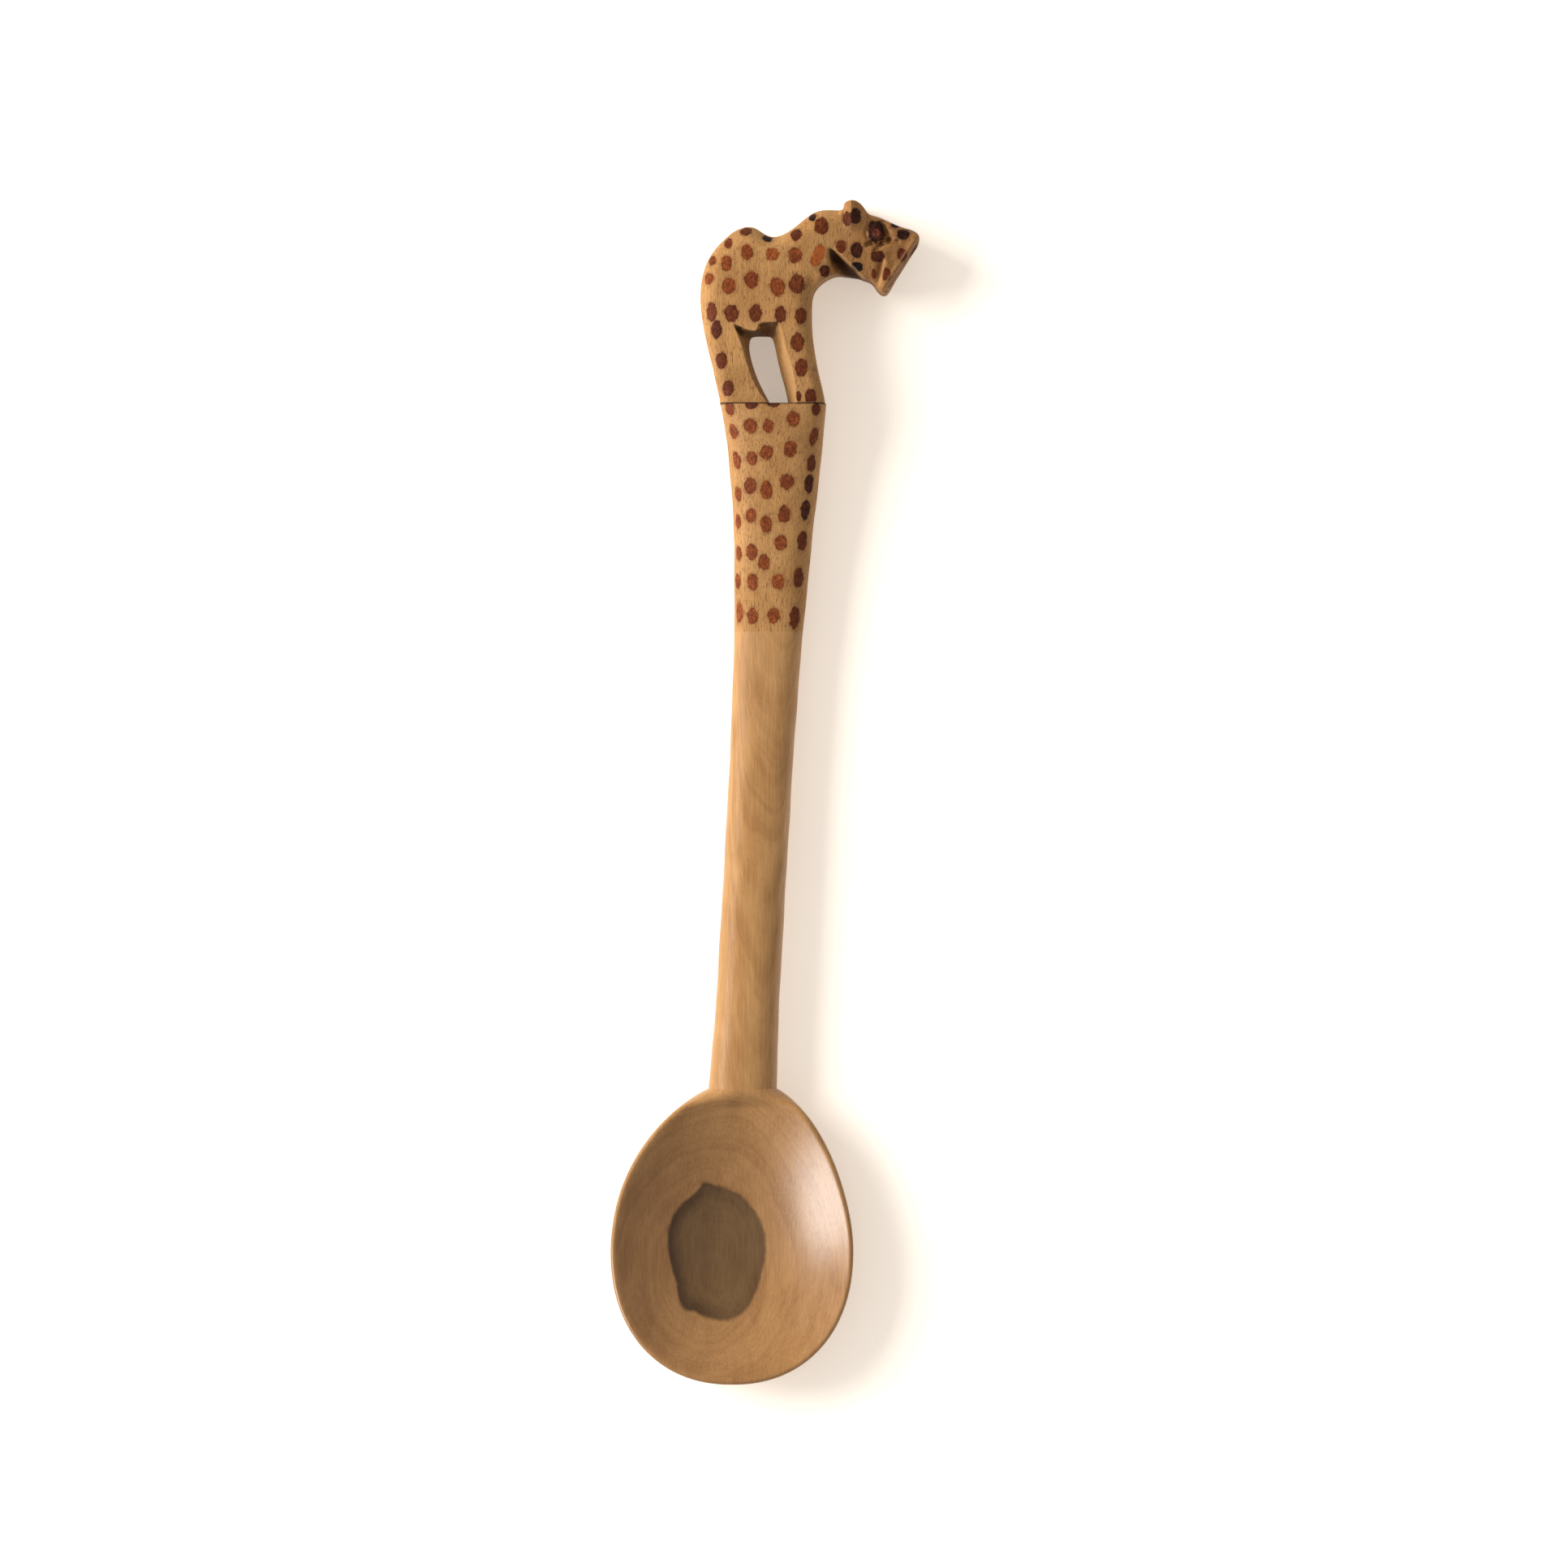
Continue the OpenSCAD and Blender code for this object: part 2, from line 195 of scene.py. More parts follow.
# %% Bowl as a function of turn and place
TIP_Y, BOWL_HALF = BOWL_LO[1], (BOWL_HI[0] - BOWL_LO[0]) / 2
BOWL_X = (BOWL_HI[0] + BOWL_LO[0]) / 2
WIDE_Y = TIP_Y + 34
RIM_T, HOLLOW_D = 2.4, 10.0
MELT_UNDER, MELT_RIM = 15, 5
HEEL_POWER, TIP_POWER = 1.85, 2.2
HEEL_REACH = (HEEL_Y - WIDE_Y) / (1 - (HEEL_W / 2 / BOWL_HALF) ** HEEL_POWER) ** (1 / HEEL_POWER)
EDGE_Z = RIM_Z - RIM_T / 2
RIM_S = 1 - 0.5 * RIM_T / BOWL_HALF
HOLLOW_S = 1 - 0.4 * RIM_T / BOWL_HALF


def soft_min(a, b, k):
    """The lower of a and b, with their corner rounded over k."""
    return np.minimum(a, b) - np.maximum(k - np.abs(a - b), 0) ** 2 / (4 * k)


def egg(y):
    """Share of the way from the widest place to either end, the curve's power there, and half width."""
    power = np.where(y > WIDE_Y, HEEL_POWER, TIP_POWER)
    v = np.clip(np.abs(y - WIDE_Y) / np.where(y > WIDE_Y, HEEL_REACH, WIDE_Y - TIP_Y), 0, 1)
    return v, power, BOWL_HALF * np.maximum(1 - v ** power, 0) ** (1 / power)


def bowl_surface(turn, y):
    """Upper side: the lower of the rounded lip and the hollow. Under side: the lower of the belly and
    the keel that runs out of the handle. Both melt into the handle's own section over the last few
    millimetres before the heel, over a longer way underneath."""
    v, power, half = egg(y)
    cos, sin = superellipse(np.cos(turn), 2.2), np.sin(turn)
    wide = np.abs(cos) * np.maximum(1 - v ** power, 0) ** (1 / power)
    s = np.clip(wide ** power + v ** power, 0, 1) ** (1 / power)
    lip = EDGE_Z + RIM_T / 2 * np.sqrt(np.maximum(1 - np.clip((s - RIM_S) / (1 - RIM_S), 0, 1) ** 2, 0))
    hollow = RIM_Z - HOLLOW_D * (1 - (s / HOLLOW_S) ** 2.2)
    inside = np.where(s < 1, soft_min(lip, hollow, 0.8), EDGE_Z)
    belly = EDGE_Z - (EDGE_Z + 0.6) * np.maximum(1 - s ** 2.2, 0) ** 0.8
    x0, z0, heel_w, heel_t, _ = handle_line(np.array(HEEL_Y))
    across = np.abs(cos) * half / heel_w
    keel = STEM_T * ((HEEL_Y - y) / 24) ** 2 + np.where(
        across < 1, z0 - heel_t * np.maximum(1 - np.minimum(across, 1) ** 2.2, 0) ** (1 / 2.2),
        z0 + 3 * (across - 1) * heel_w)
    under = np.maximum(soft_min(np.maximum(belly, 0), keel, 2), 0)
    carved = np.where(sin > 1e-9, inside, np.where(sin < -1e-9, under, EDGE_Z))
    reach = mix(np.where(sin < 0, MELT_UNDER, MELT_RIM), MELT_RIM, smooth((across - 0.5) / 0.5))
    melt = smooth(1 - (HEEL_Y - y) / reach)
    x = x0 + (BOWL_X - x0) * (1 - (1 - np.clip((HEEL_Y - y) / 30, 0, 1)) ** 2)
    z = mix(carved, z0 + heel_t * superellipse(sin, 2.2), melt)
    return np.stack([x + np.maximum(half, 0) * cos, y + 0 * turn, z], axis=-1)


# %% [markdown]
# ## From a surface to a closed piece
# Both surfaces are sampled on a grid of turns and places. The grid's rows become rings, neighbouring
# rings are joined by quads, and the ends are closed with a fan. Normals come from how the surface
# changes with each parameter, so two neighbouring pieces shade as one.

# %% Rings joined into a closed tube


def surface_normals(surface, turn, y, low, high):
    """Across product of the surface's change with the turn and its change with the place."""
    eps = 1e-3
    y0, y1 = np.clip(y - 0.02, low, high), np.clip(y + 0.02, low, high)
    along = surface(turn, y1) - surface(turn, y0)
    around = surface(turn + eps, y) - surface(turn - eps, y)
    return unit(np.cross(along, around))


def tube(name, surface, places, span, nodes, numbers):
    """Closed tube through rings at the places, which run up the spoon, with a fan over each end."""
    count = 288
    turns = np.arange(count) * 2 * math.pi / count + 1e-6
    turn, y = np.meshgrid(turns, places)
    points = surface(turn, y)
    normals = surface_normals(surface, turn, y, *span)
    rows, start = len(places), points[0].mean(axis=0)
    i, j = np.meshgrid(np.arange(rows - 1), np.arange(count), indexing="ij")
    a, b = i * count + j, i * count + (j + 1) % count
    quads = np.stack([a, a + count, b + count, b], axis=-1).reshape(-1, 4)
    points, normals = points.reshape(-1, 3), normals.reshape(-1, 3)
    ends = np.stack([start, points[-count:].mean(axis=0)])
    first, last = len(points), len(points) + 1
    ring, nxt = np.arange(count), (np.arange(count) + 1) % count
    caps = np.concatenate([
        np.stack([ring, nxt, np.full(count, first)], axis=-1),
        np.stack([nxt + first - count, ring + first - count, np.full(count, last)], axis=-1)])
    points = np.concatenate([points, ends])
    down, up = np.array([0.0, -1.0, 0.0]), np.array([0.0, 1.0, 0.0])
    corner_normals = np.concatenate([
        normals[quads.reshape(-1)], np.tile(down, (3 * count, 1)), np.tile(up, (3 * count, 1))])
    faces = quads.tolist() + caps.tolist()
    return make_piece(name, points, faces, corner_normals, nodes, numbers(points))


# %% [markdown]
# ## Spots
# A burned spot is a ragged oval. Each one is listed by its place on the carving, its width and height,
# and how dark it is. Every point of the surface is told how far it is from the nearest spot,
# 1 being that spot's edge, and how dark that spot is. The far side is dotted by the same hand,
# so it gets the same rows, turned over and shifted a little.

# %% Spots on the grip, placed from the middle of the plinth's top
GRIP_SPOTS = np.array([
    (-11.1, -1.3, 3, 4, 0.4), (-5.5, -0.5, 3.2, 2.2, 0.55), (0.0, -0.3, 3.4, 1.8, 0.6),
    (10.9, -1.6, 2.8, 3.4, 0.5), (-10.1, -7.2, 2.8, 4, 0.3), (-5.8, -5.8, 3.4, 4.2, 0.3),
    (-1.3, -5.8, 2.8, 3.8, 0.3), (5.0, -4.0, 3.4, 4, 0.3), (10.4, -8.4, 3, 5, 0.35),
    (-9.4, -14.5, 2.8, 4.8, 0.3), (-5.4, -14.0, 2.8, 3.8, 0.3), (-1.8, -12.5, 3.2, 4, 0.3),
    (4.2, -11.6, 3.5, 4.2, 0.35), (9.8, -15.2, 2.8, 4.4, 0.5), (-9.1, -22.8, 2.6, 4, 0.3),
    (-5.9, -20.9, 3.2, 4.2, 0.4), (-1.8, -21.9, 3.2, 4.8, 0.3), (3.5, -19.8, 3.6, 4.2, 0.35),
    (9.1, -20.2, 2.8, 5, 0.7), (-9.1, -29.8, 2.4, 3.8, 0.3), (-5.7, -28.3, 3, 3.9, 0.3),
    (-1.8, -30.5, 3, 4.6, 0.3), (2.8, -28.0, 3.2, 4.6, 0.4), (8.2, -26.9, 3, 5, 0.7),
    (-8.9, -37.8, 2.4, 3.8, 0.3), (-5.5, -37.6, 3, 4.2, 0.3), (-2.4, -40.1, 2.9, 4.4, 0.3),
    (1.9, -35.2, 3.3, 4, 0.3), (7.4, -34.8, 3, 5, 0.5), (-9.1, -44.9, 2.4, 3.8, 0.3),
    (-5.3, -45.1, 2.8, 4.4, 0.3), (1.2, -45.0, 3.3, 4, 0.2), (6.5, -44.0, 3, 5, 0.5),
    (-8.8, -52.8, 2.6, 5.4, 0.2), (-5.3, -53.7, 2.8, 4, 0.3), (0.1, -53.6, 3.2, 4, 0.3),
    (5.5, -54.1, 3, 6, 0.5),
])


def nearest_spot(points, middles, radii, tones):
    """Smallest of the distances to each spot's middle, each axis measured in that spot's own radius,
    and how dark the nearest one is. Worked out in blocks so that the arrays stay small."""
    near, tone = [], []
    for block in np.array_split(points, max(1, len(points) // 20000)):
        d = np.sqrt((((block[:, None, :] - middles[None]) / radii[None]) ** 2).sum(axis=-1))
        k = d.argmin(axis=1)
        near.append(d[np.arange(len(block)), k])
        tone.append(tones[k])
    return np.concatenate(near), np.concatenate(tone)


def on_handle(x, y, side):
    """Height of the handle's top (side 1) or underside (side -1) above a place."""
    x0, z0, half_w, half_t, power = handle_line(y)
    u = np.clip(np.abs(x - x0) / half_w, 0, 0.995)
    return z0 + side * half_t * (1 - u ** power) ** (1 / power)


gx, gy = GRIP_SPOTS[:, 0] + PLINTH_X, GRIP_SPOTS[:, 1] + FEET_Y
bx, by = 2 * PLINTH_X - gx + 0.6, gy - 2.1
GRIP_MIDDLES = np.concatenate([
    np.stack([gx, gy, on_handle(gx, gy, 1)], axis=-1),
    np.stack([bx, by, on_handle(bx, by, -1)], axis=-1)])
GRIP_RADII = np.tile(np.stack([GRIP_SPOTS[:, 2], GRIP_SPOTS[:, 3], GRIP_SPOTS[:, 2]], axis=-1) / 2, (2, 1))
GRIP_TONES = np.tile(GRIP_SPOTS[:, 4], 2)
NO_HEART = 9.0


def grip_numbers(points):
    """Spot distance and tone for the handle, and a painted shade line where the feet stand on the plinth."""
    near, tone = nearest_spot(points, GRIP_MIDDLES, GRIP_RADII, GRIP_TONES)
    return {"spot": near, "tone": tone, "heart": np.full(len(points), NO_HEART),
            # Painted shade along the top of the plinth, where the feet stand on it.
            "edge": np.zeros(len(points)), "nook": 0.9 * smooth((points[:, 1] - FEET_Y + 0.5) / 0.4)}


HEART_X, HEART_Y = -12.2, -116.8
HEART_HALF_W, HEART_HALF_L = 12.2, 17.6


def bowl_numbers(points):
    """How far a place in the hollow is from the middle of the dark heartwood patch, 1 being its edge.
    The patch is an oval with a few broad waves in its edge. The underside has none."""
    x, y = points[:, 0] - HEART_X, points[:, 1] - HEART_Y
    turn = np.arctan2(y / HEART_HALF_L, x / HEART_HALF_W)
    edge = 1 + 0.035 * np.cos(2 * turn + 0.9) + 0.03 * np.cos(3 * turn - 1.9)
    edge = edge + 0.02 * np.sin(5 * turn + 0.4)
    notch = 0.10 * np.exp(-((turn - 1.82) / 0.16) ** 2) + 0.12 * np.exp(-((turn + 2.35) / 0.22) ** 2)
    r = np.hypot(x / HEART_HALF_W, y / HEART_HALF_L) / (edge + notch)
    v, power, half = egg(points[:, 1])
    s = np.clip((np.abs(points[:, 0] - BOWL_X) / BOWL_HALF) ** 2 + v ** 2, 0, 1)
    lower_face = points[:, 2] < RIM_Z - HOLLOW_D * (1 - s) - 2
    near, tone = nearest_spot(points, GRIP_MIDDLES, GRIP_RADII, GRIP_TONES)
    return {"spot": near, "tone": tone, "heart": np.where(lower_face, NO_HEART, r),
            "edge": np.zeros(len(points)), "nook": np.zeros(len(points))}


# %% [markdown]
# ## Four tubes
# The bowl's rings lie closer together towards its tip and its heel, where the surface turns fastest.
# Stem, grip and plinth share one surface, so they meet without a step; only their finish changes.

# %% Bowl, stem, grip and plinth
heel_share = np.linspace(0, 1, 150) ** 1.25
tip_share = np.sin(np.linspace(0, math.pi / 2, 110))
bowl_places = np.concatenate([
    (WIDE_Y - (WIDE_Y - TIP_Y) * tip_share[:0:-1]), HEEL_Y + (WIDE_Y - HEEL_Y) * heel_share[::-1]])
bowl = tube("bowl_carved", bowl_surface, bowl_places, (TIP_Y, HEEL_Y),
            ["bowl"], bowl_numbers)
HANDLE = (HEEL_Y, FEET_Y)
stem = tube("stem_carved", handle_surface, np.linspace(STEM_LO[1], STEM_HI[1], 200), HANDLE,
            ["stem"], grip_numbers)
grip = tube("grip_carved", handle_surface, np.linspace(GRIP_LO[1], GRIP_HI[1], 150), HANDLE,
            ["grip"], grip_numbers)
plinth = tube("plinth_carved", handle_surface, np.linspace(PLINTH_LO[1], PLINTH_HI[1], 24), HANDLE,
              ["plinth"], grip_numbers)

# %% [markdown]
# ## Giraffe
# The animal isn't a tube: legs, belly and neck enclose a gap, and the head is carved in small flat cuts.
# A solid like this is easiest as one number at every place in space, negative inside the wood and
# positive outside. It is built the way the carver works: a board is sawn to the side outline, its edges
# are rounded, the gap between the legs is opened and bevelled, a slot parts the right legs from the left
# ones, and the face is cut in. All its places are millimetres from the middle of the plinth's top.

# %% Outlines of the animal and of the gap between its legs
OUTLINE = np.array([
    (-13.5, -6), (-13.4, 0), (-14.0, 3.2), (-14.7, 6), (-15.3, 9.2), (-16.4, 13.4), (-17.2, 16.8),
    (-17.9, 20.4), (-18.4, 24), (-18.5, 28), (-18.2, 31.4), (-17.2, 35), (-16.1, 37.2), (-14.4, 39.6),
    (-12.4, 41.5), (-10.6, 43.2), (-8.6, 44.3), (-6.6, 44.8), (-4.8, 44.6), (-3.2, 43.6), (-1.6, 42.5),
    (0, 42.1), (1.8, 42.4), (4, 43.6), (6, 45.1), (8, 46.8), (10, 48.3), (12, 49.0), (14.4, 49.1),
    (16.8, 48.9), (17.6, 49.0), (17.75, 49.8), (17.9, 50.6), (18.7, 51.15), (20.2, 51.4), (21.6, 50.9),
    (22.8, 49.7), (23.6, 48.4), (24.2, 47.8), (26.6, 47.3), (29.2, 46.1), (32, 44.9), (35, 44.1),
    (36.6, 43.3), (37.1, 42.0), (36.8, 40.4), (35, 37.8), (33, 34.6), (31.4, 32.2), (30.0, 29.6),
    (28.9, 27.8), (27.6, 27.9), (26.4, 29.0), (25.6, 30.4), (24.4, 31.4), (22, 31.9), (19, 32.4),
    (16.4, 32.8), (14.2, 32.2), (12.4, 31.0), (11.0, 29.6), (10.1, 27.8), (9.8, 25), (9.8, 20),
    (10.0, 16.4), (10.5, 13), (11.1, 9.4), (11.8, 6.2), (12.6, 3), (13.2, 0), (13.5, -6),
])
GAP_DEEP = np.array([
    (-5.9, 16.8), (-6.2, 14.6), (-5.8, 12), (-5.1, 9.4), (-4.1, 6.6), (-2.9, 4), (-1.5, 1.4), (0, -1.4),
    (2, -6), (3.9, -6), (3.9, 0), (3.1, 4), (1.9, 8), (0.9, 12.4), (0.3, 15.4), (-0.3, 17.3),
    (-2, 17.4), (-5, 17.4),
])
GAP_WIDE = np.array([
    (-10.3, 20.3), (-9.2, 17.8), (-8.1, 15.2), (-7.1, 11.6), (-5.7, 7.0), (-4.2, 3.9), (-2.6, 1.5),
    (-1.0, -0.4), (0.6, -3), (2, -6), (6, -6), (5.95, 0), (5.6, 4), (4.9, 8), (3.7, 12), (2.7, 15.6),
    (1.5, 20.8), (0.8, 20.4), (-3.7, 20.3), (-4.0, 18.2), (-6.2, 18.3), (-8.2, 19.3),
])


def rounded_outline(points, times=2):
    """Each corner is cut a quarter of the way along both its sides, again and again, so it turns smooth."""
    for _ in range(times):
        after = np.roll(points, -1, axis=0)
        points = np.stack([mix(points, after, 0.25), mix(points, after, 0.75)], axis=1).reshape(-1, 2)
    return points


def outline_distance(points, x, y):
    """Distance to the nearest side of a closed outline, negative inside it. A place is inside when a
    line from it to the right crosses an odd number of sides."""
    a, b = points, np.roll(points, -1, axis=0)
    span = b - a
    shape, x, y = x.shape, x.reshape(-1), y.reshape(-1)
    out = np.empty(x.shape)
    for k in np.array_split(np.arange(len(x)), max(1, len(x) // 12000)):
        px, py = x[k, None], y[k, None]
        t = ((px - a[:, 0]) * span[:, 0] + (py - a[:, 1]) * span[:, 1]) / (span ** 2).sum(axis=1)
        t = np.clip(t, 0, 1)
        near = np.hypot(px - a[:, 0] - t * span[:, 0], py - a[:, 1] - t * span[:, 1]).min(axis=1)
        level = np.where(span[:, 1] == 0, 1e-12, span[:, 1])
        cross = ((a[:, 1] > py) != (b[:, 1] > py)) & (px < a[:, 0] + (py - a[:, 1]) * span[:, 0] / level)
        out[k] = np.where(cross.sum(axis=1) % 2 == 1, -near, near)
    return out.reshape(shape)


# %% [markdown]
# ## The animal's face
# Both sides of the board are worked alike. A map holds how far the face stands from the middle of the
# board: full at the rump, thinner over neck and head, thinnest at the nose. The cuts are added to it:
# the step of the cheek over the throat, the ridge of the ear, the eye in its socket, the notch of the
# mouth, and the fold over the nostril. A second map holds how far the edges are rounded.

# %% Maps of the animal's face
STEP = 0.25
map_x, map_y = np.meshgrid(np.arange(-20, 39.01, STEP), np.arange(-1, 53.01, STEP), indexing="ij")


def groove(points, width, x, y):
    """1 on a bent line through the points, and 0 a width away from it."""
    points = np.array(points, float)
    near = np.full(x.shape, 1e9)
    for a, b in zip(points[:-1], points[1:]):
        span = b - a
        t = np.clip(((x - a[0]) * span[0] + (y - a[1]) * span[1]) / (span ** 2).sum(), 0, 1)
        near = np.minimum(near, np.hypot(x - a[0] - t * span[0], y - a[1] - t * span[1]))
    return smooth(1 - near / width)


def step_along(a, b, x, y):
    """How far a place is to the right of the line from a to b, and how far along the line, 0 to 1."""
    a, b = np.array(a, float), np.array(b, float)
    span = (b - a) / np.linalg.norm(b - a)
    dx, dy = x - a[0], y - a[1]
    return dx * span[1] - dy * span[0], (dx * span[0] + dy * span[1]) / np.linalg.norm(b - a)


BOARD = np.array([
    (-19, 9.5), (-15, 10.0), (-8, 10.3), (0, 10.3), (7, 10.1), (11, 9.6), (15, 8.8), (19, 8.3), (27, 8.0),
    (31, 7.2), (38, 5.4),
])


def face_height(x, y):
    """Half thickness of the board, with every cut of the knife added to it or taken from it."""
    z = np.interp(x, *BOARD.T)
    z = np.minimum(z, mix(9.2, 10.4, smooth(y / 12)))
    z = z - 0.25 * smooth((y - 40) / 6) * (x < 12)
    y = y + 0.45
    over, along = step_along((23.4, 30.8), (14.4, 39.4), x, y)
    side = -over
    throat = np.where(side > 0, np.exp(-(side / 3.4) ** 2), smooth(1 + side / 0.9))
    z = z - 4.2 * throat * smooth((x - 13.2) / 2.6) * smooth((40.2 - y) / 3)
    jaw = np.where(side < 0, np.exp(side / 2.5) * smooth(-side / 0.8), 0)
    z = z + 0.5 * jaw * smooth((40.2 - y) / 3) * (x > 14)
    ridge = np.minimum((x - 17.7) / 1.9, (24.4 - x) / 4.7)
    z = z + 2.0 * np.clip(ridge, 0, 1) * smooth((y - 43.0) / 4.5)
    eye = (np.abs((x - 26.0) / 2.7) ** 1.5 + np.abs((y - 43.4) / 3.3) ** 1.5) ** (1 / 1.5)
    z = z - 0.5 * smooth((1.3 - eye) / 0.4) + 0.55 * np.sqrt(np.maximum(1 - (eye / 0.9) ** 2, 0))
    z = z - 1.35 * groove([(27.7, 45.6), (28.9, 43.2), (29.3, 42.0)], 1.5, x, y)
    z = z - 1.1 * groove([(23.8, 40.6), (25.6, 41.4), (27.0, 40.8), (29.3, 42.0)], 1.0, x, y)
    z = z - 0.8 * groove([(25.8, 39.2), (27.4, 40.4), (29.6, 41.2), (31.4, 41.4)], 0.9, x, y)
    front, up = step_along((28.7, 27.7), (37.0, 40.6), x, y)
    blunt = smooth((up + 0.02) / 0.12) * smooth((1.12 - up) / 0.12) * (x > 27)
    z = z + blunt * (0.45 * np.exp(-((front + 1.9) / 0.7) ** 2) - 1.9 * smooth((front + 1.5) / 1.4))
    z = z - 1.3 * smooth((30.2 - y) / 2.4) * (x > 24)
    over, along = step_along((26.2, 29.4), (27.6, 36.8), x, y)
    lips = smooth(along / 0.12) * smooth((1.1 - along) / 0.2)
    z = z + lips * np.where(over > 0, 1.0 * smooth(over / 1.1) * np.exp(-np.maximum(over - 1, 0) / 4), 0)
    z = z - lips * 0.9 * np.exp(-(over / 0.9) ** 2)
    return z


def edge_round(x, y):
    """How far the edges are rounded: most along the back, less on the legs and head, least at the nose."""
    r = mix(4.4, 3.0, smooth((21 - y) / 8)) + 0.6 * smooth((7 - y) / 6)
    r = mix(r, 2.4, smooth((x - 12) / 7) * (y > 24))
    r = mix(r, 2.0, smooth((x - 9) / 3) * smooth((34 - y) / 2) * (y > 24))
    r = mix(r, 0.8, smooth((y - 46.4) / 1.6) * smooth((x - 16.4) / 1.0) * smooth((25.4 - x) / 1.5))
    front = (x - 28.9) - (y - 27.8) / 1.62
    return mix(r, 1.0, smooth((front + 3.5) / 2) * smooth((44 - y) / 2) * (x > 24))


maps = {
    "side": outline_distance(rounded_outline(OUTLINE), map_x, map_y),
    "deep": outline_distance(rounded_outline(GAP_DEEP), map_x, map_y),
    "wide": outline_distance(rounded_outline(GAP_WIDE, 1), map_x, map_y),
    "face": face_height(map_x, map_y),
    "round": edge_round(map_x, map_y),
}
print("maps of the animal are", map_x.shape, "places,", STEP, "mm apart")

# %% [markdown]
# ## The solid from its maps
# The board is everything within the outline and within the face height, with the edge between them
# rounded. The gap is taken away; it is narrow at the middle of the board and widens towards both faces.

# %% The animal as one number in space
SLOT = 2.2


def carved_solid(m, y, z):
    """Rounded join of the outline's distance and the face's, less the bevelled gap between the legs,
    the slot between right and left, the space between the ears, and what lies below the plinth's top."""
    depth = np.abs(z)
    a, b = m["side"] + m["round"], depth - m["face"] + m["round"]
    board = np.minimum(np.maximum(a, b), 0) + np.hypot(np.maximum(a, 0), np.maximum(b, 0)) - m["round"]
    gap = mix(m["deep"], m["wide"], np.clip((depth - 2.5) / (m["face"] - 2.5), 0, 1.2))
    slot = np.where(y > 15.4, np.hypot(depth, y - 15.4) - SLOT, depth - SLOT)
    between = np.minimum(y - 49.3, 2.4 + 0.6 * (y - 49.3) - depth)
    for cut in (-gap, -slot, between, -y):
        board = np.maximum(board, cut)
    return board


def solid_at(points):
    """The same number at scattered places, with the maps read between their nearest four values."""
    u = np.clip((points[:, 0] - map_x[0, 0]) / STEP, 0, map_x.shape[0] - 1.001)
    v = np.clip((points[:, 1] - map_y[0, 0]) / STEP, 0, map_x.shape[1] - 1.001)
    i, j = u.astype(int), v.astype(int)
    fu, fv = u - i, v - j
    read = {k: (m[i, j] * (1 - fu) * (1 - fv) + m[i + 1, j] * fu * (1 - fv)
                + m[i, j + 1] * (1 - fu) * fv + m[i + 1, j + 1] * fu * fv) for k, m in maps.items()}
    return carved_solid(read, points[:, 1], points[:, 2])


def solid_slope(points, reach=0.12):
    """Direction in which the number grows fastest, which is the outward normal of the wood."""
    steps = np.eye(3) * reach
    return np.stack([solid_at(points + s) - solid_at(points - s) for s in steps], axis=-1) / (2 * reach)


# %% [markdown]
# ## Skin of the solid
# The number is worked out on a fine grid. Each little cell that has wood at some corners and air at
# others gets one point, at the mean of where its edges cross the surface. Each grid edge that crosses
# the surface joins its four cells by a quad. The points are then slid along the slope onto the surface.

# %% Grid cells to points and quads


def skin(values):
    """Points, in grid steps, and quads of the surface where the values change sign."""
    cells = np.array(values.shape) - 1
    total, count = np.zeros((*cells, 3), np.float32), np.zeros(cells, np.int8)
    crossings = []
    for axis in range(3):
        head = [slice(None)] * 3
        tail = [slice(None)] * 3
        head[axis], tail[axis] = slice(None, -1), slice(1, None)
        v0, v1 = values[tuple(head)], values[tuple(tail)]
        crossed = (v0 < 0) != (v1 < 0)
        at = np.argwhere(crossed)
        place = at.astype(np.float32)
        place[:, axis] += (v0[crossed] / (v0[crossed] - v1[crossed]))
        others = [k for k in range(3) if k != axis]
        for da in (0, 1):
            for db in (0, 1):
                cell = at.copy()
                cell[:, others[0]] -= da
                cell[:, others[1]] -= db
                ok = ((cell >= 0) & (cell < cells)).all(axis=1)
                c = tuple(cell[ok].T)
                total[c] += place[ok]
                count[c] += 1
        crossings.append((axis, at, v0[crossed] < 0))
    index = np.full(cells, -1)
    index[count > 0] = np.arange((count > 0).sum())
    points = total[count > 0] / count[count > 0][:, None]
    quads = []
    for axis, at, outward in crossings:
        p, q = (axis + 1) % 3, (axis + 2) % 3
        around = [(-1, -1), (0, -1), (0, 0), (-1, 0)]
        cell = np.repeat(at[:, None, :], 4, axis=1)
        cell[:, :, p] += np.array([k[0] for k in around])
        cell[:, :, q] += np.array([k[1] for k in around])
        ok = ((cell >= 0) & (cell < cells)).all(axis=(1, 2))
        quad = index[cell[ok][..., 0], cell[ok][..., 1], cell[ok][..., 2]]
        quads.append(np.where(outward[ok][:, None], quad, quad[:, ::-1]))
    return points, np.concatenate(quads)


grid_z = np.arange(-12.125, 12.2, STEP)
low = np.array([map_x[0, 0], map_y[0, 0], grid_z[0]])
values = carved_solid({k: m[:, :, None] for k, m in maps.items()}, map_y[:, :, None], grid_z[None, None, :])
skin_points, skin_quads = skin(values.astype(np.float32))
skin_points = skin_points.astype(float) * STEP + low
for _ in range(4):
    slope = solid_slope(skin_points)
    far = solid_at(skin_points) / np.maximum((slope ** 2).sum(axis=1), 0.3)
    skin_points -= np.clip(far, -0.1, 0.1)[:, None] * slope
print("skin of the animal:", len(skin_points), "points,", len(skin_quads), "quads")

# %% [markdown]
# ## Spots on the animal
# The flanks carry rows of spots, and the edges of the board carry their own dabs, so that the animal is
# dotted all round. The far flank repeats the near one, turned over and shifted.

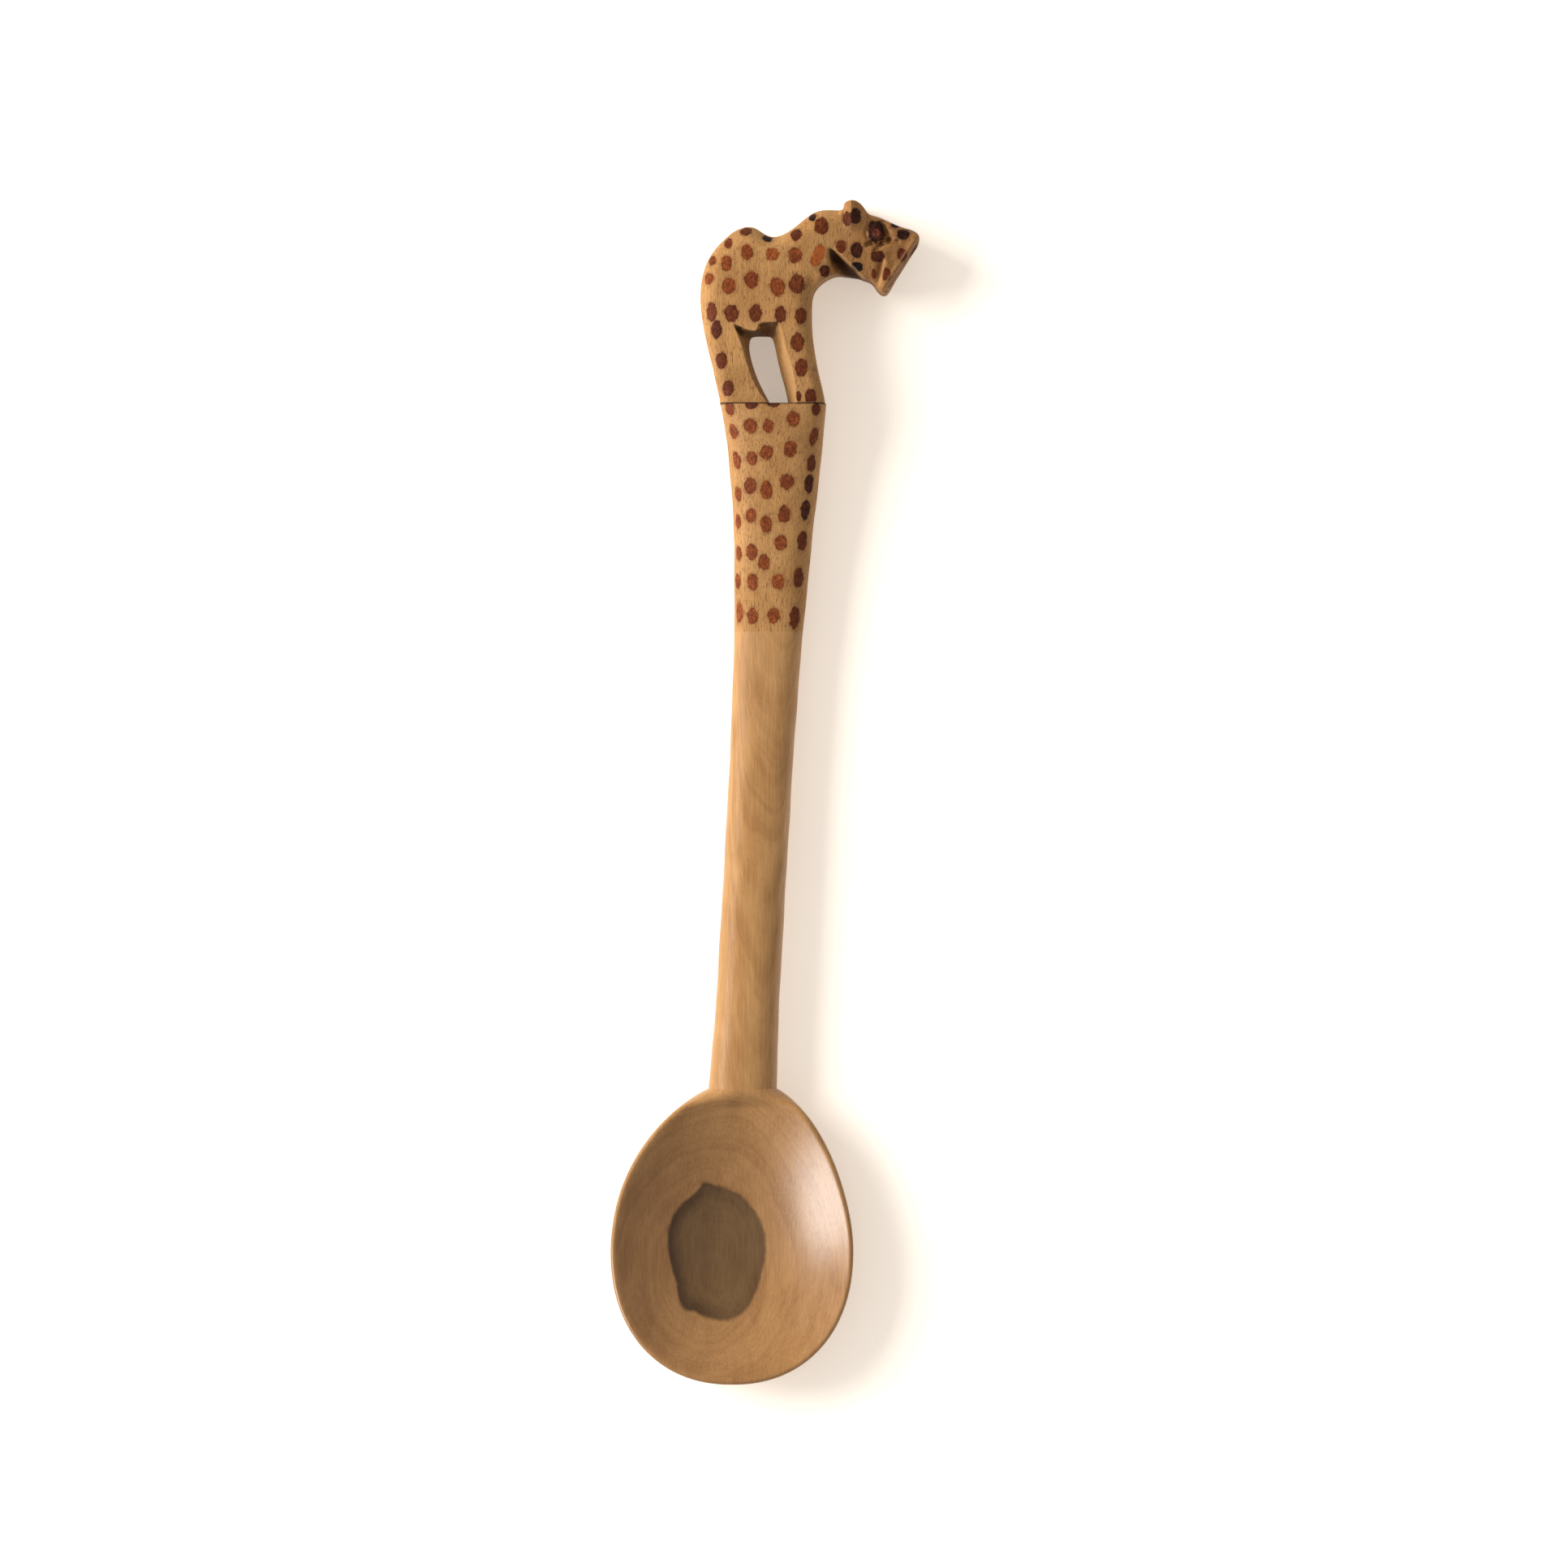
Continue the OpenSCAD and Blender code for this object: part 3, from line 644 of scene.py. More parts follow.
# %% Spots of the animal
FLANK_SPOTS = np.array([
    (20.8, 47.6, 2.8, 4, 0.75), (18.6, 46.9, 2.2, 4, 0.55), (32.9, 43.2, 3.3, 2.8, 0.8),
    (17.1, 40.0, 2.6, 3.4, 0.4), (21.1, 39.2, 3.2, 4.2, 0.75), (21.1, 34.8, 3.4, 2.6, 1.0),
    (26.4, 37.6, 3.6, 2.8, 0.6), (32.6, 38.0, 2.6, 3.4, 0.5), (28.6, 33.0, 2.2, 3.4, 0.45),
    (25.4, 33.2, 1.2, 2.5, 0.4), (13.1, 33.8, 2.8, 3.2, 0.6), (26.1, 44.0, 4.6, 6, 0.75),
    (-7.0, 44.2, 3.5, 3, 0.6), (-11.4, 41.0, 2.4, 3, 0.5), (-1.2, 42.6, 3.4, 3, 0.9),
    (5.7, 43.2, 3, 3.4, 0.6), (12.2, 45.2, 3.6, 4.6, 0.5), (9.8, 47.9, 2.4, 3, 0.9),
    (-15.6, 36.7, 2.4, 3, 0.5), (-11.9, 35.7, 2.8, 4, 0.3), (-6.6, 38.5, 3.1, 4, 0.3),
    (-0.2, 38.0, 3.3, 3.3, 0.2), (5.5, 37.8, 3.6, 4, 0.35), (10.7, 36.5, 2.7, 3.2, 0.1),
    (11.3, 37.8, 3.0, 3.4, 0), (11.9, 39.0, 2.5, 3.0, 0), (-16.4, 31.8, 2.6, 3.2, 0.3),
    (-11.2, 30.1, 3.5, 4.2, 0.3), (-5.5, 31.6, 3.8, 4.4, 0.4), (1.0, 29.8, 3.9, 4.8, 0.3),
    (5.9, 30.4, 4, 4.8, 0.5), (-15.6, 23.4, 2.6, 5, 0.5), (-10.6, 23.0, 3.8, 4.4, 0.5),
    (-4.5, 23.0, 3.2, 4.4, 0.5), (1.8, 22.8, 2.9, 4.2, 0.5), (7.0, 22.4, 3.2, 4.4, 0.45),
    (-14.4, 19.0, 2.8, 4.6, 0.6), (-13.1, 11.2, 3, 4.2, 0.55), (-11.4, 4.2, 3, 4.2, 0.5),
    (6.1, 15.7, 3.4, 4.8, 0.5), (7.1, 9.4, 3.2, 4.6, 0.5), (6.4, 2.2, 1.4, 2.6, 0.6),
    (9.4, 2.0, 3, 4, 0.55), (31.0, 45.8, 2.4, 2.0, 0.9),
])
EDGE_SPOTS = np.array([
    (-14.1, 3.5, 0.5), (-15.6, 10, 0.5), (-17.2, 16.5, 0.4), (-18.3, 22.5, 0.4), (-18.4, 29, 0.4),
    (-16.8, 35.6, 0.4), (-12.8, 41.2, 0.5), (-7.2, 44.6, 0.8), (-0.8, 42.2, 0.95), (4.6, 44.0, 0.75),
    (9.6, 48.0, 0.85), (15.2, 49.1, 0.9), (24.0, 48.4, 0.9), (9.9, 26.5, 0.4), (9.8, 20.5, 0.4),
    (10.6, 13, 0.5), (12.2, 5, 0.5), (34.5, 44.2, 0.6), (35.6, 38.8, 0.6), (31.8, 33, 0.6),
])
depth = face_height(FLANK_SPOTS[:, 0], FLANK_SPOTS[:, 1])
near_side = np.stack([FLANK_SPOTS[:, 0], FLANK_SPOTS[:, 1] - 0.45, depth], axis=-1)
far_side = np.stack([FLANK_SPOTS[:, 0] + 0.5, FLANK_SPOTS[:, 1] - 1.1, -depth], axis=-1)
flank_radii = np.stack([
    FLANK_SPOTS[:, 2] / 2, FLANK_SPOTS[:, 3] / 2, np.full(len(FLANK_SPOTS), 3.2)], axis=-1)
edge_right = np.stack([EDGE_SPOTS[:, 0], EDGE_SPOTS[:, 1], np.full(len(EDGE_SPOTS), 3.4)], axis=-1)
edge_left = edge_right * [1, 1, -1] + [0.3, 1.4, 0.6]
ANIMAL_MIDDLES = np.concatenate([near_side, far_side, edge_right, edge_left])
edge_radii = np.tile([1.7, 1.9, 1.6], (2 * len(EDGE_SPOTS), 1))
ANIMAL_RADII = np.concatenate([flank_radii, flank_radii, edge_radii])
ANIMAL_TONES = np.concatenate([np.tile(FLANK_SPOTS[:, 4], 2), np.tile(EDGE_SPOTS[:, 2], 2)])
print(len(ANIMAL_TONES), "spots on the animal,", len(GRIP_TONES), "on the grip")


def animal_numbers(points):
    """Spots; how sharp a place is, for wear on sharp edges and for painted highlights; and painted shade.
    A step into the wood from a sharp edge ends nearer to the surface than the step is long; a step out
    into the air from a hollow does too, and hollows are painted darker as shade."""
    near, tone = nearest_spot(points, ANIMAL_MIDDLES, ANIMAL_RADII, ANIMAL_TONES)
    out = unit(solid_slope(points))
    edge = 1 + solid_at(points - out * 1.0) / 1.0
    nook = 1 - solid_at(points + out * 1.6) / 1.6
    x, y = points[:, 0], points[:, 1]
    under = -step_along((23.4, 30.8), (14.4, 39.4), x, y)[0]
    throat = smooth((under + 0.3) / 0.5) * np.exp(-(np.maximum(under, 0) / 3.6) ** 2)
    throat = throat * smooth((x - 12.6) / 2.5) * smooth((40.6 - y) / 2) * (y > 25)
    arch = 0.62 * smooth((y - 15.6) / 1.2) * smooth((20.9 - y) / 0.5)
    arch = arch * smooth((1.6 - np.abs(x + 4.2) / 5.2) / 0.6) * smooth((-out[:, 1] - 0.25) / 0.3)
    foot = 0.9 * smooth((0.55 - y) / 0.5)
    front, up = step_along((28.7, 27.3), (37.0, 40.2), x, y)
    blunt = smooth((up + 0.02) / 0.1) * smooth((1.1 - up) / 0.1) * (x > 27)
    bevel = 0.85 * blunt * smooth((front + 1.3) / 0.6) * smooth((np.abs(out[:, 2]) - 0.12) / 0.3)
    # Painted shade: hollows, the shaded throat, the underside of the arch over the gap, the feet and the
    # muzzle's front bevel are marked to be darkened.
    nook = np.maximum.reduce([nook * mix(1, 0.6, smooth((x - 22) / 2)), throat, arch, foot, bevel])
    # Painted highlights: pale lines along the lit ridge of the lips, the lit rim of the muzzle's front, the
    # lit lower edge of the cheek, and the leg bevels that face the window.
    lips, high = step_along((26.2, 29.0), (27.6, 36.4), x, y)
    pale = np.exp(-((lips - 0.5) / 0.5) ** 2) * smooth(high / 0.2) * smooth((1.05 - high) / 0.1)
    pale = np.maximum(pale, np.exp(-((front + 1.9) / 0.4) ** 2) * blunt)
    jaw = np.exp(-((under + 0.4) / 0.3) ** 2) * smooth((x - 14.6) / 1.5) * smooth((25 - x) / 2) * (y > 29)
    leg_lit_side = 0.75 * smooth((-out[:, 0] - 0.2) / 0.3) * smooth((x - 1) / 1.5) * smooth((18 - y) / 1.5)
    pale = np.maximum.reduce([pale, jaw, leg_lit_side])
    pale = pale * (np.abs(points[:, 2]) > 3)
    edge, nook = np.maximum(edge, pale), nook * (1 - 0.8 * pale)
    return {"spot": near, "tone": tone, "heart": np.full(len(points), NO_HEART),
            "edge": np.clip(edge, 0, 1), "nook": np.clip(nook, 0, 1)}


# %% [markdown]
# ## Regions of the animal
# The skin is one closed mesh. It is cut by planes into the regions that the model names, and each cut is
# closed with a flat cap, so every region is a closed piece that meets its neighbours face to face. The
# normals still come from the whole solid, so no seam shows.

# %% Cut the skin into regions
ON_PLINTH = [PLINTH_X, FEET_Y, MIDDLE_Z]
whole = bmesh.new()
skin_mesh = bpy.data.meshes.new("skin")
skin_mesh.from_pydata(skin_points.tolist(), [], skin_quads.tolist())
whole.from_mesh(skin_mesh)
bpy.data.meshes.remove(skin_mesh)
whole.faces.layers.int.new("cap")


def kept_side(solid, place, direction):
    """A copy of the solid with what lies ahead of the plane cut off and the cut closed by a flat cap."""
    part = solid.copy()
    cap = part.faces.layers.int.get("cap")
    bmesh.ops.bisect_plane(part, geom=part.verts[:] + part.edges[:] + part.faces[:], dist=1e-6,
                           plane_co=place, plane_no=direction, clear_outer=True)
    rim = [e for e in part.edges if e.is_boundary]
    if rim:
        made = bmesh.ops.holes_fill(part, edges=rim, sides=0)["faces"]
        made = bmesh.ops.triangulate(part, faces=made)["faces"]
        for face in made:
            face.normal_update()
            if face.normal.dot(direction) < 0:
                face.normal_flip()
            face[cap] = 1
    return part


def halves(solid, axis, at):
    """The two closed halves of a solid on the low and the high side of a plane across an axis."""
    place, direction = [0.0] * 3, [0.0] * 3
    place[axis], direction[axis] = at, 1.0
    back = [-d for d in direction]
    parts = kept_side(solid, place, direction), kept_side(solid, place, back)
    solid.free()
    return parts


def region(solid, name, nodes):
    """Turns a cut solid into a piece, in its place on the plinth."""
    mesh = bpy.data.meshes.new(name + "_work")
    solid.to_mesh(mesh)
    solid.free()
    points = np.empty(len(mesh.vertices) * 3)
    mesh.vertices.foreach_get("co", points)
    points = points.reshape(-1, 3)
    corner_point = np.empty(len(mesh.loops), np.int32)
    mesh.loops.foreach_get("vertex_index", corner_point)
    start, size = np.empty(len(mesh.polygons), np.int32), np.empty(len(mesh.polygons), np.int32)
    mesh.polygons.foreach_get("loop_start", start)
    mesh.polygons.foreach_get("loop_total", size)
    flat = np.empty(len(mesh.polygons) * 3)
    mesh.polygons.foreach_get("normal", flat)
    cap = np.empty(len(mesh.polygons), np.int32)
    mesh.attributes["cap"].data.foreach_get("value", cap)
    normals = unit(solid_slope(points))[corner_point]
    faces = [corner_point[a:a + n].tolist() for a, n in zip(start, size)]
    face_of_corner = np.repeat(np.arange(len(size)), size)
    on_cap = cap[face_of_corner] == 1
    normals[on_cap] = flat.reshape(-1, 3)[face_of_corner[on_cap]]
    bpy.data.meshes.remove(mesh)
    numbers = animal_numbers(points)
    return make_piece(name, points + ON_PLINTH, faces, normals, nodes, numbers)


legs, upper = halves(whole, 1, 17.0)
hind, fore = halves(legs, 0, -2.4)
hind_left, hind_right = halves(hind, 2, 0.0)
fore_left, fore_right = halves(fore, 2, 0.0)
rump, rest = halves(upper, 0, -6.1)
barrel, rest = halves(rest, 0, -0.1)
shoulder, rest = halves(rest, 0, 11.8)
neck, rest = halves(rest, 0, 17.0)
head, muzzle = halves(rest, 0, 28.4)
head, ears = halves(head, 1, 49.35)
ear_left, ear_right = halves(ears, 2, 0.0)
ANIMAL = [region(solid, name + "_carved", [name]) for solid, name in [
    (hind_left, "hind_leg_left"), (hind_right, "hind_leg_right"), (fore_left, "fore_leg_left"),
    (fore_right, "fore_leg_right"), (rump, "rump"), (barrel, "barrel"), (shoulder, "shoulder"),
    (neck, "neck"), (head, "head"), (muzzle, "muzzle"), (ear_left, "ear_left"), (ear_right, "ear_right")]]

# %% [markdown]
# ## Eyes
# Each eye is a low dome, burned nearly black, that sits in its socket. A dome is a function of a turn
# and of how far out a place is; a flat disc closes it underneath.

# %% Eyes
EYE_X, EYE_Y = 26.0, 42.95


def dome(name, node, side):
    """Low dome over the socket: its height falls from the middle to the rim as a cosine."""
    turn, out = np.meshgrid(np.arange(48) * 2 * math.pi / 48, np.linspace(1, 0.04, 14))
    x = EYE_X + 2.2 * out * superellipse(np.cos(turn), 1.6)
    y = EYE_Y + 2.7 * out * superellipse(np.sin(turn), 1.6)
    base = face_height(x, y)
    z = side * (base - 0.35 + 0.45 * np.cos(out * math.pi / 2))
    points = np.stack([x, y, z], axis=-1).reshape(-1, 3)
    i, j = np.meshgrid(np.arange(13), np.arange(48), indexing="ij")
    a, b = i * 48 + j, i * 48 + (j + 1) % 48
    faces = np.stack([a, b, b + 48, a + 48], axis=-1).reshape(-1, 4).tolist()
    faces += [list(range(47, -1, -1)), list(range(13 * 48, 14 * 48))]
    if side < 0:
        faces = [f[::-1] for f in faces]
    mesh_normals = np.concatenate([np.tile([0.0, 0.0, 1.0 * side], (len(f), 1)) for f in faces])
    slopes = unit(np.stack([
        (points[:, 0] - EYE_X) / 3.2, (points[:, 1] - EYE_Y) / 4.4, np.full(len(points), side)], axis=-1))
    flat = np.concatenate([np.array(f) for f in faces])
    mesh_normals[:-96] = slopes[flat[:-96]]
    mesh_normals[-96:-48] = [0, 0, -side]
    numbers = {k: np.full(len(points), v) for k, v in
               {"spot": 0.0, "tone": 1.0, "heart": 9.0, "edge": 0.0, "nook": 0.0}.items()}
    return make_piece(name, points + ON_PLINTH, faces, mesh_normals, [node], numbers)


EYES = [dome("eye_right_burnt", "eye_right", 1), dome("eye_left_burnt", "eye_left", -1)]

# %% [markdown]
# ## Finishes
# All the wood is one material on the real spoon, so one group makes it for every finish: growth layers
# cut at a slant, fine fibres, and dark pores like short dashes. It is worked out from places in space,
# in millimetres, so the grain runs through from piece to piece as in one billet.

# %% Small helpers for shader nodes


def tint(red, green, blue, share=1.0):
    """Linear colour from the usual 0 to 255 values, scaled."""
    c = np.array([red, green, blue]) / 255
    c = np.where(c <= 0.04045, c / 12.92, ((c + 0.055) / 1.055) ** 2.4) * share
    return (*c.tolist(), 1.0)


class Nodes:
    """Adds nodes to a shader tree. A number or colour sets an input; a socket is linked to it."""

    def __init__(self, tree):
        self.tree = tree

    def feed(self, socket, value):
        if isinstance(value, bpy.types.NodeSocket):
            self.tree.links.new(value, socket)
        else:
            socket.default_value = value

    def add(self, kind, inputs=None, **settings):
        node = self.tree.nodes.new(kind)
        for key, value in settings.items():
            setattr(node, key, value)
        for key, value in (inputs or {}).items():
            self.feed(node.inputs[key], value)
        return node

    def math(self, operation, *values, clamp=False):
        node = self.add("ShaderNodeMath", operation=operation, use_clamp=clamp)
        for socket, value in zip(node.inputs, values):
            self.feed(socket, value)
        return node.outputs[0]

    def fade(self, value, low, high, smoothly=True):
        """0 where the value is low and 1 where it is high; low may be the larger number."""
        node = self.add("ShaderNodeMapRange", {"Value": value, "From Min": low, "From Max": high})
        node.interpolation_type = "SMOOTHSTEP" if smoothly else "LINEAR"
        return node.outputs[0]

    def blend(self, share, a, b, way="MIX"):
        node = self.add("ShaderNodeMix", {0: share, 6: a, 7: b}, data_type="RGBA", blend_type=way)
        return node.outputs[2]

    def place(self):
        """Place in space, in millimetres."""
        where = self.add("ShaderNodeTexCoord").outputs["Object"]
        return self.add("ShaderNodeVectorMath", {0: where, "Scale": 1000.0}, operation="SCALE").outputs[0]

    def noise(self, place, scale, detail=2.0, rough=0.5, shift=0.0):
        """Cloudy noise, 0 to 1, that is stretched by its own scale along each axis."""
        at = self.add("ShaderNodeVectorMath", {0: place, 1: scale, 2: (shift, shift, shift)},
                      operation="MULTIPLY_ADD").outputs[0]
        given = {"Vector": at, "Scale": 1.0, "Detail": detail, "Roughness": rough}
        return self.add("ShaderNodeTexNoise", given).outputs[0]

    def point_number(self, name):
        return self.add("ShaderNodeAttribute", attribute_name=name).outputs["Fac"]


def node_group(name, inputs, outputs):
    """Empty group with named inputs and outputs, and the helpers to fill it."""
    tree = bpy.data.node_groups.new(name, "ShaderNodeTree")
    for key, kind in inputs:
        tree.interface.new_socket(key, in_out="INPUT", socket_type="NodeSocket" + kind)
    for key, kind in outputs:
        tree.interface.new_socket(key, in_out="OUTPUT", socket_type="NodeSocket" + kind)
    nodes = Nodes(tree)
    return tree, nodes, nodes.add("NodeGroupInput").outputs, nodes.add("NodeGroupOutput").inputs


# %% [markdown]
# ## Wood
# The group's colour runs between a pale and a deep brown. Growth layers are a one-dimensional noise
# along a slanting direction, so they show as long flames on the stem and as rings in the bowl. Its
# height is lowest in the pores, so that light catches them.

# %% Wood group
WOOD, n, given, result = node_group(
    "billet wood", [("pale", "Color"), ("deep", "Color"), ("layers", "Float"), ("pores", "Float")],
    [("colour", "Color"), ("height", "Float")])
place = n.place()
sway = n.noise(place, (0.05, 0.014, 0.05), 2.0)
growth = n.add("ShaderNodeVectorMath", {0: place, 1: (0.155, 0.093, 1.0)}, operation="DOT_PRODUCT")
growth = growth.outputs["Value"]
growth = n.math("MULTIPLY_ADD", sway, 5.0, growth)
layers = n.add("ShaderNodeTexNoise", {
    "W": n.math("MULTIPLY", growth, 1.15), "Scale": 1.0, "Detail": 3.0, "Roughness": 0.62},
    noise_dimensions="1D").outputs[0]
layers = n.fade(layers, 0.34, 0.68)
fibre = n.fade(n.noise(place, (2.6, 0.10, 2.6), 3.0, 0.6), 0.30, 0.70)
cloud = n.fade(n.noise(place, (0.16, 0.07, 0.16), 2.0, 0.5, 31.0), 0.30, 0.70)
dashes = n.noise(place, (4.6, 0.62, 4.6), 2.0, 0.6, 7.0)
pore = n.fade(dashes, 0.54, 0.70)
grain = n.math("SUBTRACT", n.noise(place, (5.5, 2.6, 5.5), 2.0, 0.7, 41.0), 0.5)
share = n.math("MULTIPLY_ADD", fibre, 0.34, n.math("MULTIPLY_ADD", cloud, 0.34, 0.14))
share = n.math("MULTIPLY_ADD", grain, given["pores"], share)
share = n.math("MULTIPLY_ADD", n.math("SUBTRACT", layers, 0.5), given["layers"], share, clamp=True)
colour = n.blend(share, given["pale"], given["deep"])
dark = n.math("MULTIPLY", pore, given["pores"])
n.feed(result["colour"], n.blend(dark, colour, tint(92, 50, 24), "MIX"))
n.feed(result["height"], n.math("MULTIPLY_ADD", pore, -1.0, n.math("MULTIPLY", fibre, 0.35)))
print("wood group has", len(WOOD.nodes), "nodes")

# %% [markdown]
# ## Burned spots
# A hot iron leaves a ragged reddish-brown oval, darker where it rested longer, with a faint scorch round
# it. The group turns the distance to a spot's middle into that: noise makes the edge ragged and the
# middle mottled, and the spot's own darkness picks the colour.

# %% Burned spot group
BURN, n, given, result = node_group(
    "burned spots", [("distance", "Float"), ("darkness", "Float")],
    [("colour", "Color"), ("mask", "Float"), ("scorch", "Float")])
place = n.place()
coarse = n.math("SUBTRACT", n.noise(place, (0.75, 0.75, 0.75), 3.0, 0.6, 3.0), 0.5)
fine = n.math("SUBTRACT", n.noise(place, (3.4, 2.0, 3.4), 2.0, 0.6, 11.0), 0.5)
ragged = n.math("MULTIPLY_ADD", coarse, 0.75, n.math("MULTIPLY", fine, 0.16))
reach = n.math("ADD", given["distance"], ragged)
n.feed(result["mask"], n.fade(reach, 1.10, 0.90))
n.feed(result["scorch"], n.fade(reach, 1.5, 0.95))
border = n.math("MULTIPLY", n.fade(reach, 0.66, 0.95), 0.07)
mottle = n.math("SUBTRACT", n.noise(place, (1.5, 0.9, 1.5), 4.0, 0.65, 23.0), 0.5)
mottled = n.math("MULTIPLY_ADD", mottle, 1.2, n.math("MULTIPLY_ADD", fine, 0.7, border))
tone = n.math("ADD", given["darkness"], mottled, clamp=True)
ramp = n.add("ShaderNodeValToRGB", {"Fac": tone})
stops = [(0.0, tint(176, 94, 42, 0.75)), (0.3, tint(126, 60, 24, 0.75)), (0.6, tint(92, 40, 17, 0.7)),
         (0.8, tint(60, 26, 12, 0.7)), (1.0, tint(20, 9, 6, 0.7))]
while len(ramp.color_ramp.elements) < len(stops):
    ramp.color_ramp.elements.new(0.5)
for element, (at, shade) in zip(ramp.color_ramp.elements, stops):
    element.position, element.color = at, shade
n.feed(result["colour"], ramp.outputs["Color"])
print("burned spot group has", len(BURN.nodes), "nodes")

# %% [markdown]
# ## Three finishes
# Bowl and stem are oiled and rubbed until they shine; the bowl also shows the patch of dark heartwood.
# The grip and the animal are matte from the knife. The eyes are burned nearly black.

# %% Materials
PALE, DEEP = (0.46, 0.248, 0.092, 1.0), (0.262, 0.118, 0.034, 1.0)


def new_material(name):
    material = bpy.data.materials.new(name)
    material.use_nodes = True
    material.node_tree.nodes.clear()
    return material, Nodes(material.node_tree)


def finish_material(n, colour, height, relief, **shader):
    """Principled wood with a bump whose height is in relief (millimetres)."""
    bump = n.add("ShaderNodeBump", {"Height": height, "Strength": 1.0, "Distance": relief * MM})
    body = n.add("ShaderNodeBsdfPrincipled", {"Base Color": colour, "Normal": bump.outputs[0], **shader})
    n.feed(n.add("ShaderNodeOutputMaterial").inputs["Surface"], body.outputs[0])


def wood_with_spots(n, layers, pores):
    """Wood colour with the burned spots on it, and the height of the grain."""
    wood = n.add("ShaderNodeGroup", {}, node_tree=WOOD)
    n.feed(wood.inputs["pale"], PALE)
    n.feed(wood.inputs["deep"], DEEP)
    n.feed(wood.inputs["layers"], layers)
    n.feed(wood.inputs["pores"], pores)
    burn = n.add("ShaderNodeGroup", {}, node_tree=BURN)
    n.feed(burn.inputs["distance"], n.point_number("spot"))
    n.feed(burn.inputs["darkness"], n.point_number("tone"))
    scorch = n.math("MULTIPLY", burn.outputs["scorch"], 0.22)
    scorched = n.blend(scorch, wood.outputs["colour"], tint(120, 64, 32, 0.5))
    return wood, burn, scorched, n.blend(burn.outputs["mask"], scorched, burn.outputs["colour"])


polished, n = new_material("polished wood")
wood, burn, scorched, colour = wood_with_spots(n, 0.22, 0.16)
place = n.place()
x, y, z = n.add("ShaderNodeSeparateXYZ", {0: place}).outputs
# The colour is made darker towards the bowl.
toward_bowl = n.fade(y, float(BOWL_HI[1]) + 8, float(BOWL_HI[1]) - 22)
colour = n.blend(toward_bowl, colour, n.blend(1.0, colour, (0.80, 0.78, 0.80, 1), "MULTIPLY"))
wave = n.math("SUBTRACT", n.noise(place, (0.5, 0.5, 0.5), 3.0), 0.5)
heart = n.math("MULTIPLY_ADD", wave, 0.07, n.point_number("heart"))
inside = n.fade(heart, 1.03, 0.95)
# The dark rim of the heartwood patch is wood colour; its extra darkening towards the left is painted shade,
# for the left wall of the hollow that faces away from the window.
left = n.math("MULTIPLY_ADD", n.fade(x, -7.0, -20.0), 0.7, 0.3)
rim = n.math("MULTIPLY", n.fade(heart, 0.66, 0.98), left)
shade = n.blend(rim, (0.44, 0.46, 0.47, 1), (0.20, 0.19, 0.18, 1))
colour = n.blend(inside, colour, n.blend(1.0, colour, shade, "MULTIPLY"))
rough = n.fade(y, float(GRIP_LO[1]) - 60, float(GRIP_LO[1]) - 2)
rough = n.math("MULTIPLY_ADD", rough, 0.25, 0.31)
finish_material(n, colour, wood.outputs["height"], 0.006,
                **{"Roughness": rough, "Specular IOR Level": 0.34})

matte, n = new_material("spotted wood")
wood, burn, scorched, colour = wood_with_spots(n, 0.10, 0.74)
edge, nook = n.point_number("edge"), n.point_number("nook")
x, y, z = n.add("ShaderNodeSeparateXYZ", {0: n.place()}).outputs
# The head and muzzle are made darker all over.
head_darker = n.math("MULTIPLY", n.fade(x, float(PLINTH_X) + 14, float(PLINTH_X) + 21),
                 n.fade(y, float(FEET_Y) + 25, float(FEET_Y) + 32))
colour = n.blend(head_darker, colour, n.blend(1.0, colour, (0.76, 0.70, 0.66, 1), "MULTIPLY"))
# Edges are lightened: partly real wear on sharp edges, partly painted highlight on lit ridges and on the leg
# bevels that face the window.
wear_and_painted_highlight = n.math("MULTIPLY", n.fade(edge, 0.35, 0.9), 0.30)
colour = n.blend(wear_and_painted_highlight, colour, tint(226, 178, 126, 0.62))
# Painted shade: the colour is darkened in hollows, the throat, under the arch of the gap, along the feet and
# on the muzzle's bevel, with a little random patchiness.
uneven = n.math("SUBTRACT", n.noise(n.place(), (0.9, 0.9, 0.9), 3.0), 0.5)
painted_shade = n.math("MULTIPLY", n.fade(n.math("MULTIPLY_ADD", uneven, 0.4, nook), 0.30, 0.85), 0.90)
colour = n.blend(painted_shade, colour, tint(62, 28, 11, 0.5))
rough = n.math("MULTIPLY_ADD", burn.outputs["mask"], 0.10, 0.60)
finish_material(n, colour, wood.outputs["height"], 0.05, **{"Roughness": rough, "Specular IOR Level": 0.14})

burnt, n = new_material("burnt wood")
wood, burn, scorched, colour = wood_with_spots(n, 0.1, 0.4)
patchy = n.fade(n.noise(n.place(), (1.1, 0.9, 1.1), 4.0), 0.40, 0.66)
char = n.blend(patchy, tint(62, 26, 13, 0.7), tint(128, 60, 28, 0.75))
finish_material(n, char, wood.outputs["height"], 0.03, **{"Roughness": 0.62, "Specular IOR Level": 0.2})

for piece in [bowl, stem]:
    piece.data.materials.append(polished)
for piece in [grip, plinth, *ANIMAL]:
    piece.data.materials.append(matte)
for piece in EYES:
    piece.data.materials.append(burnt)
print("three finishes on", 4 + len(ANIMAL) + len(EYES), "pieces")
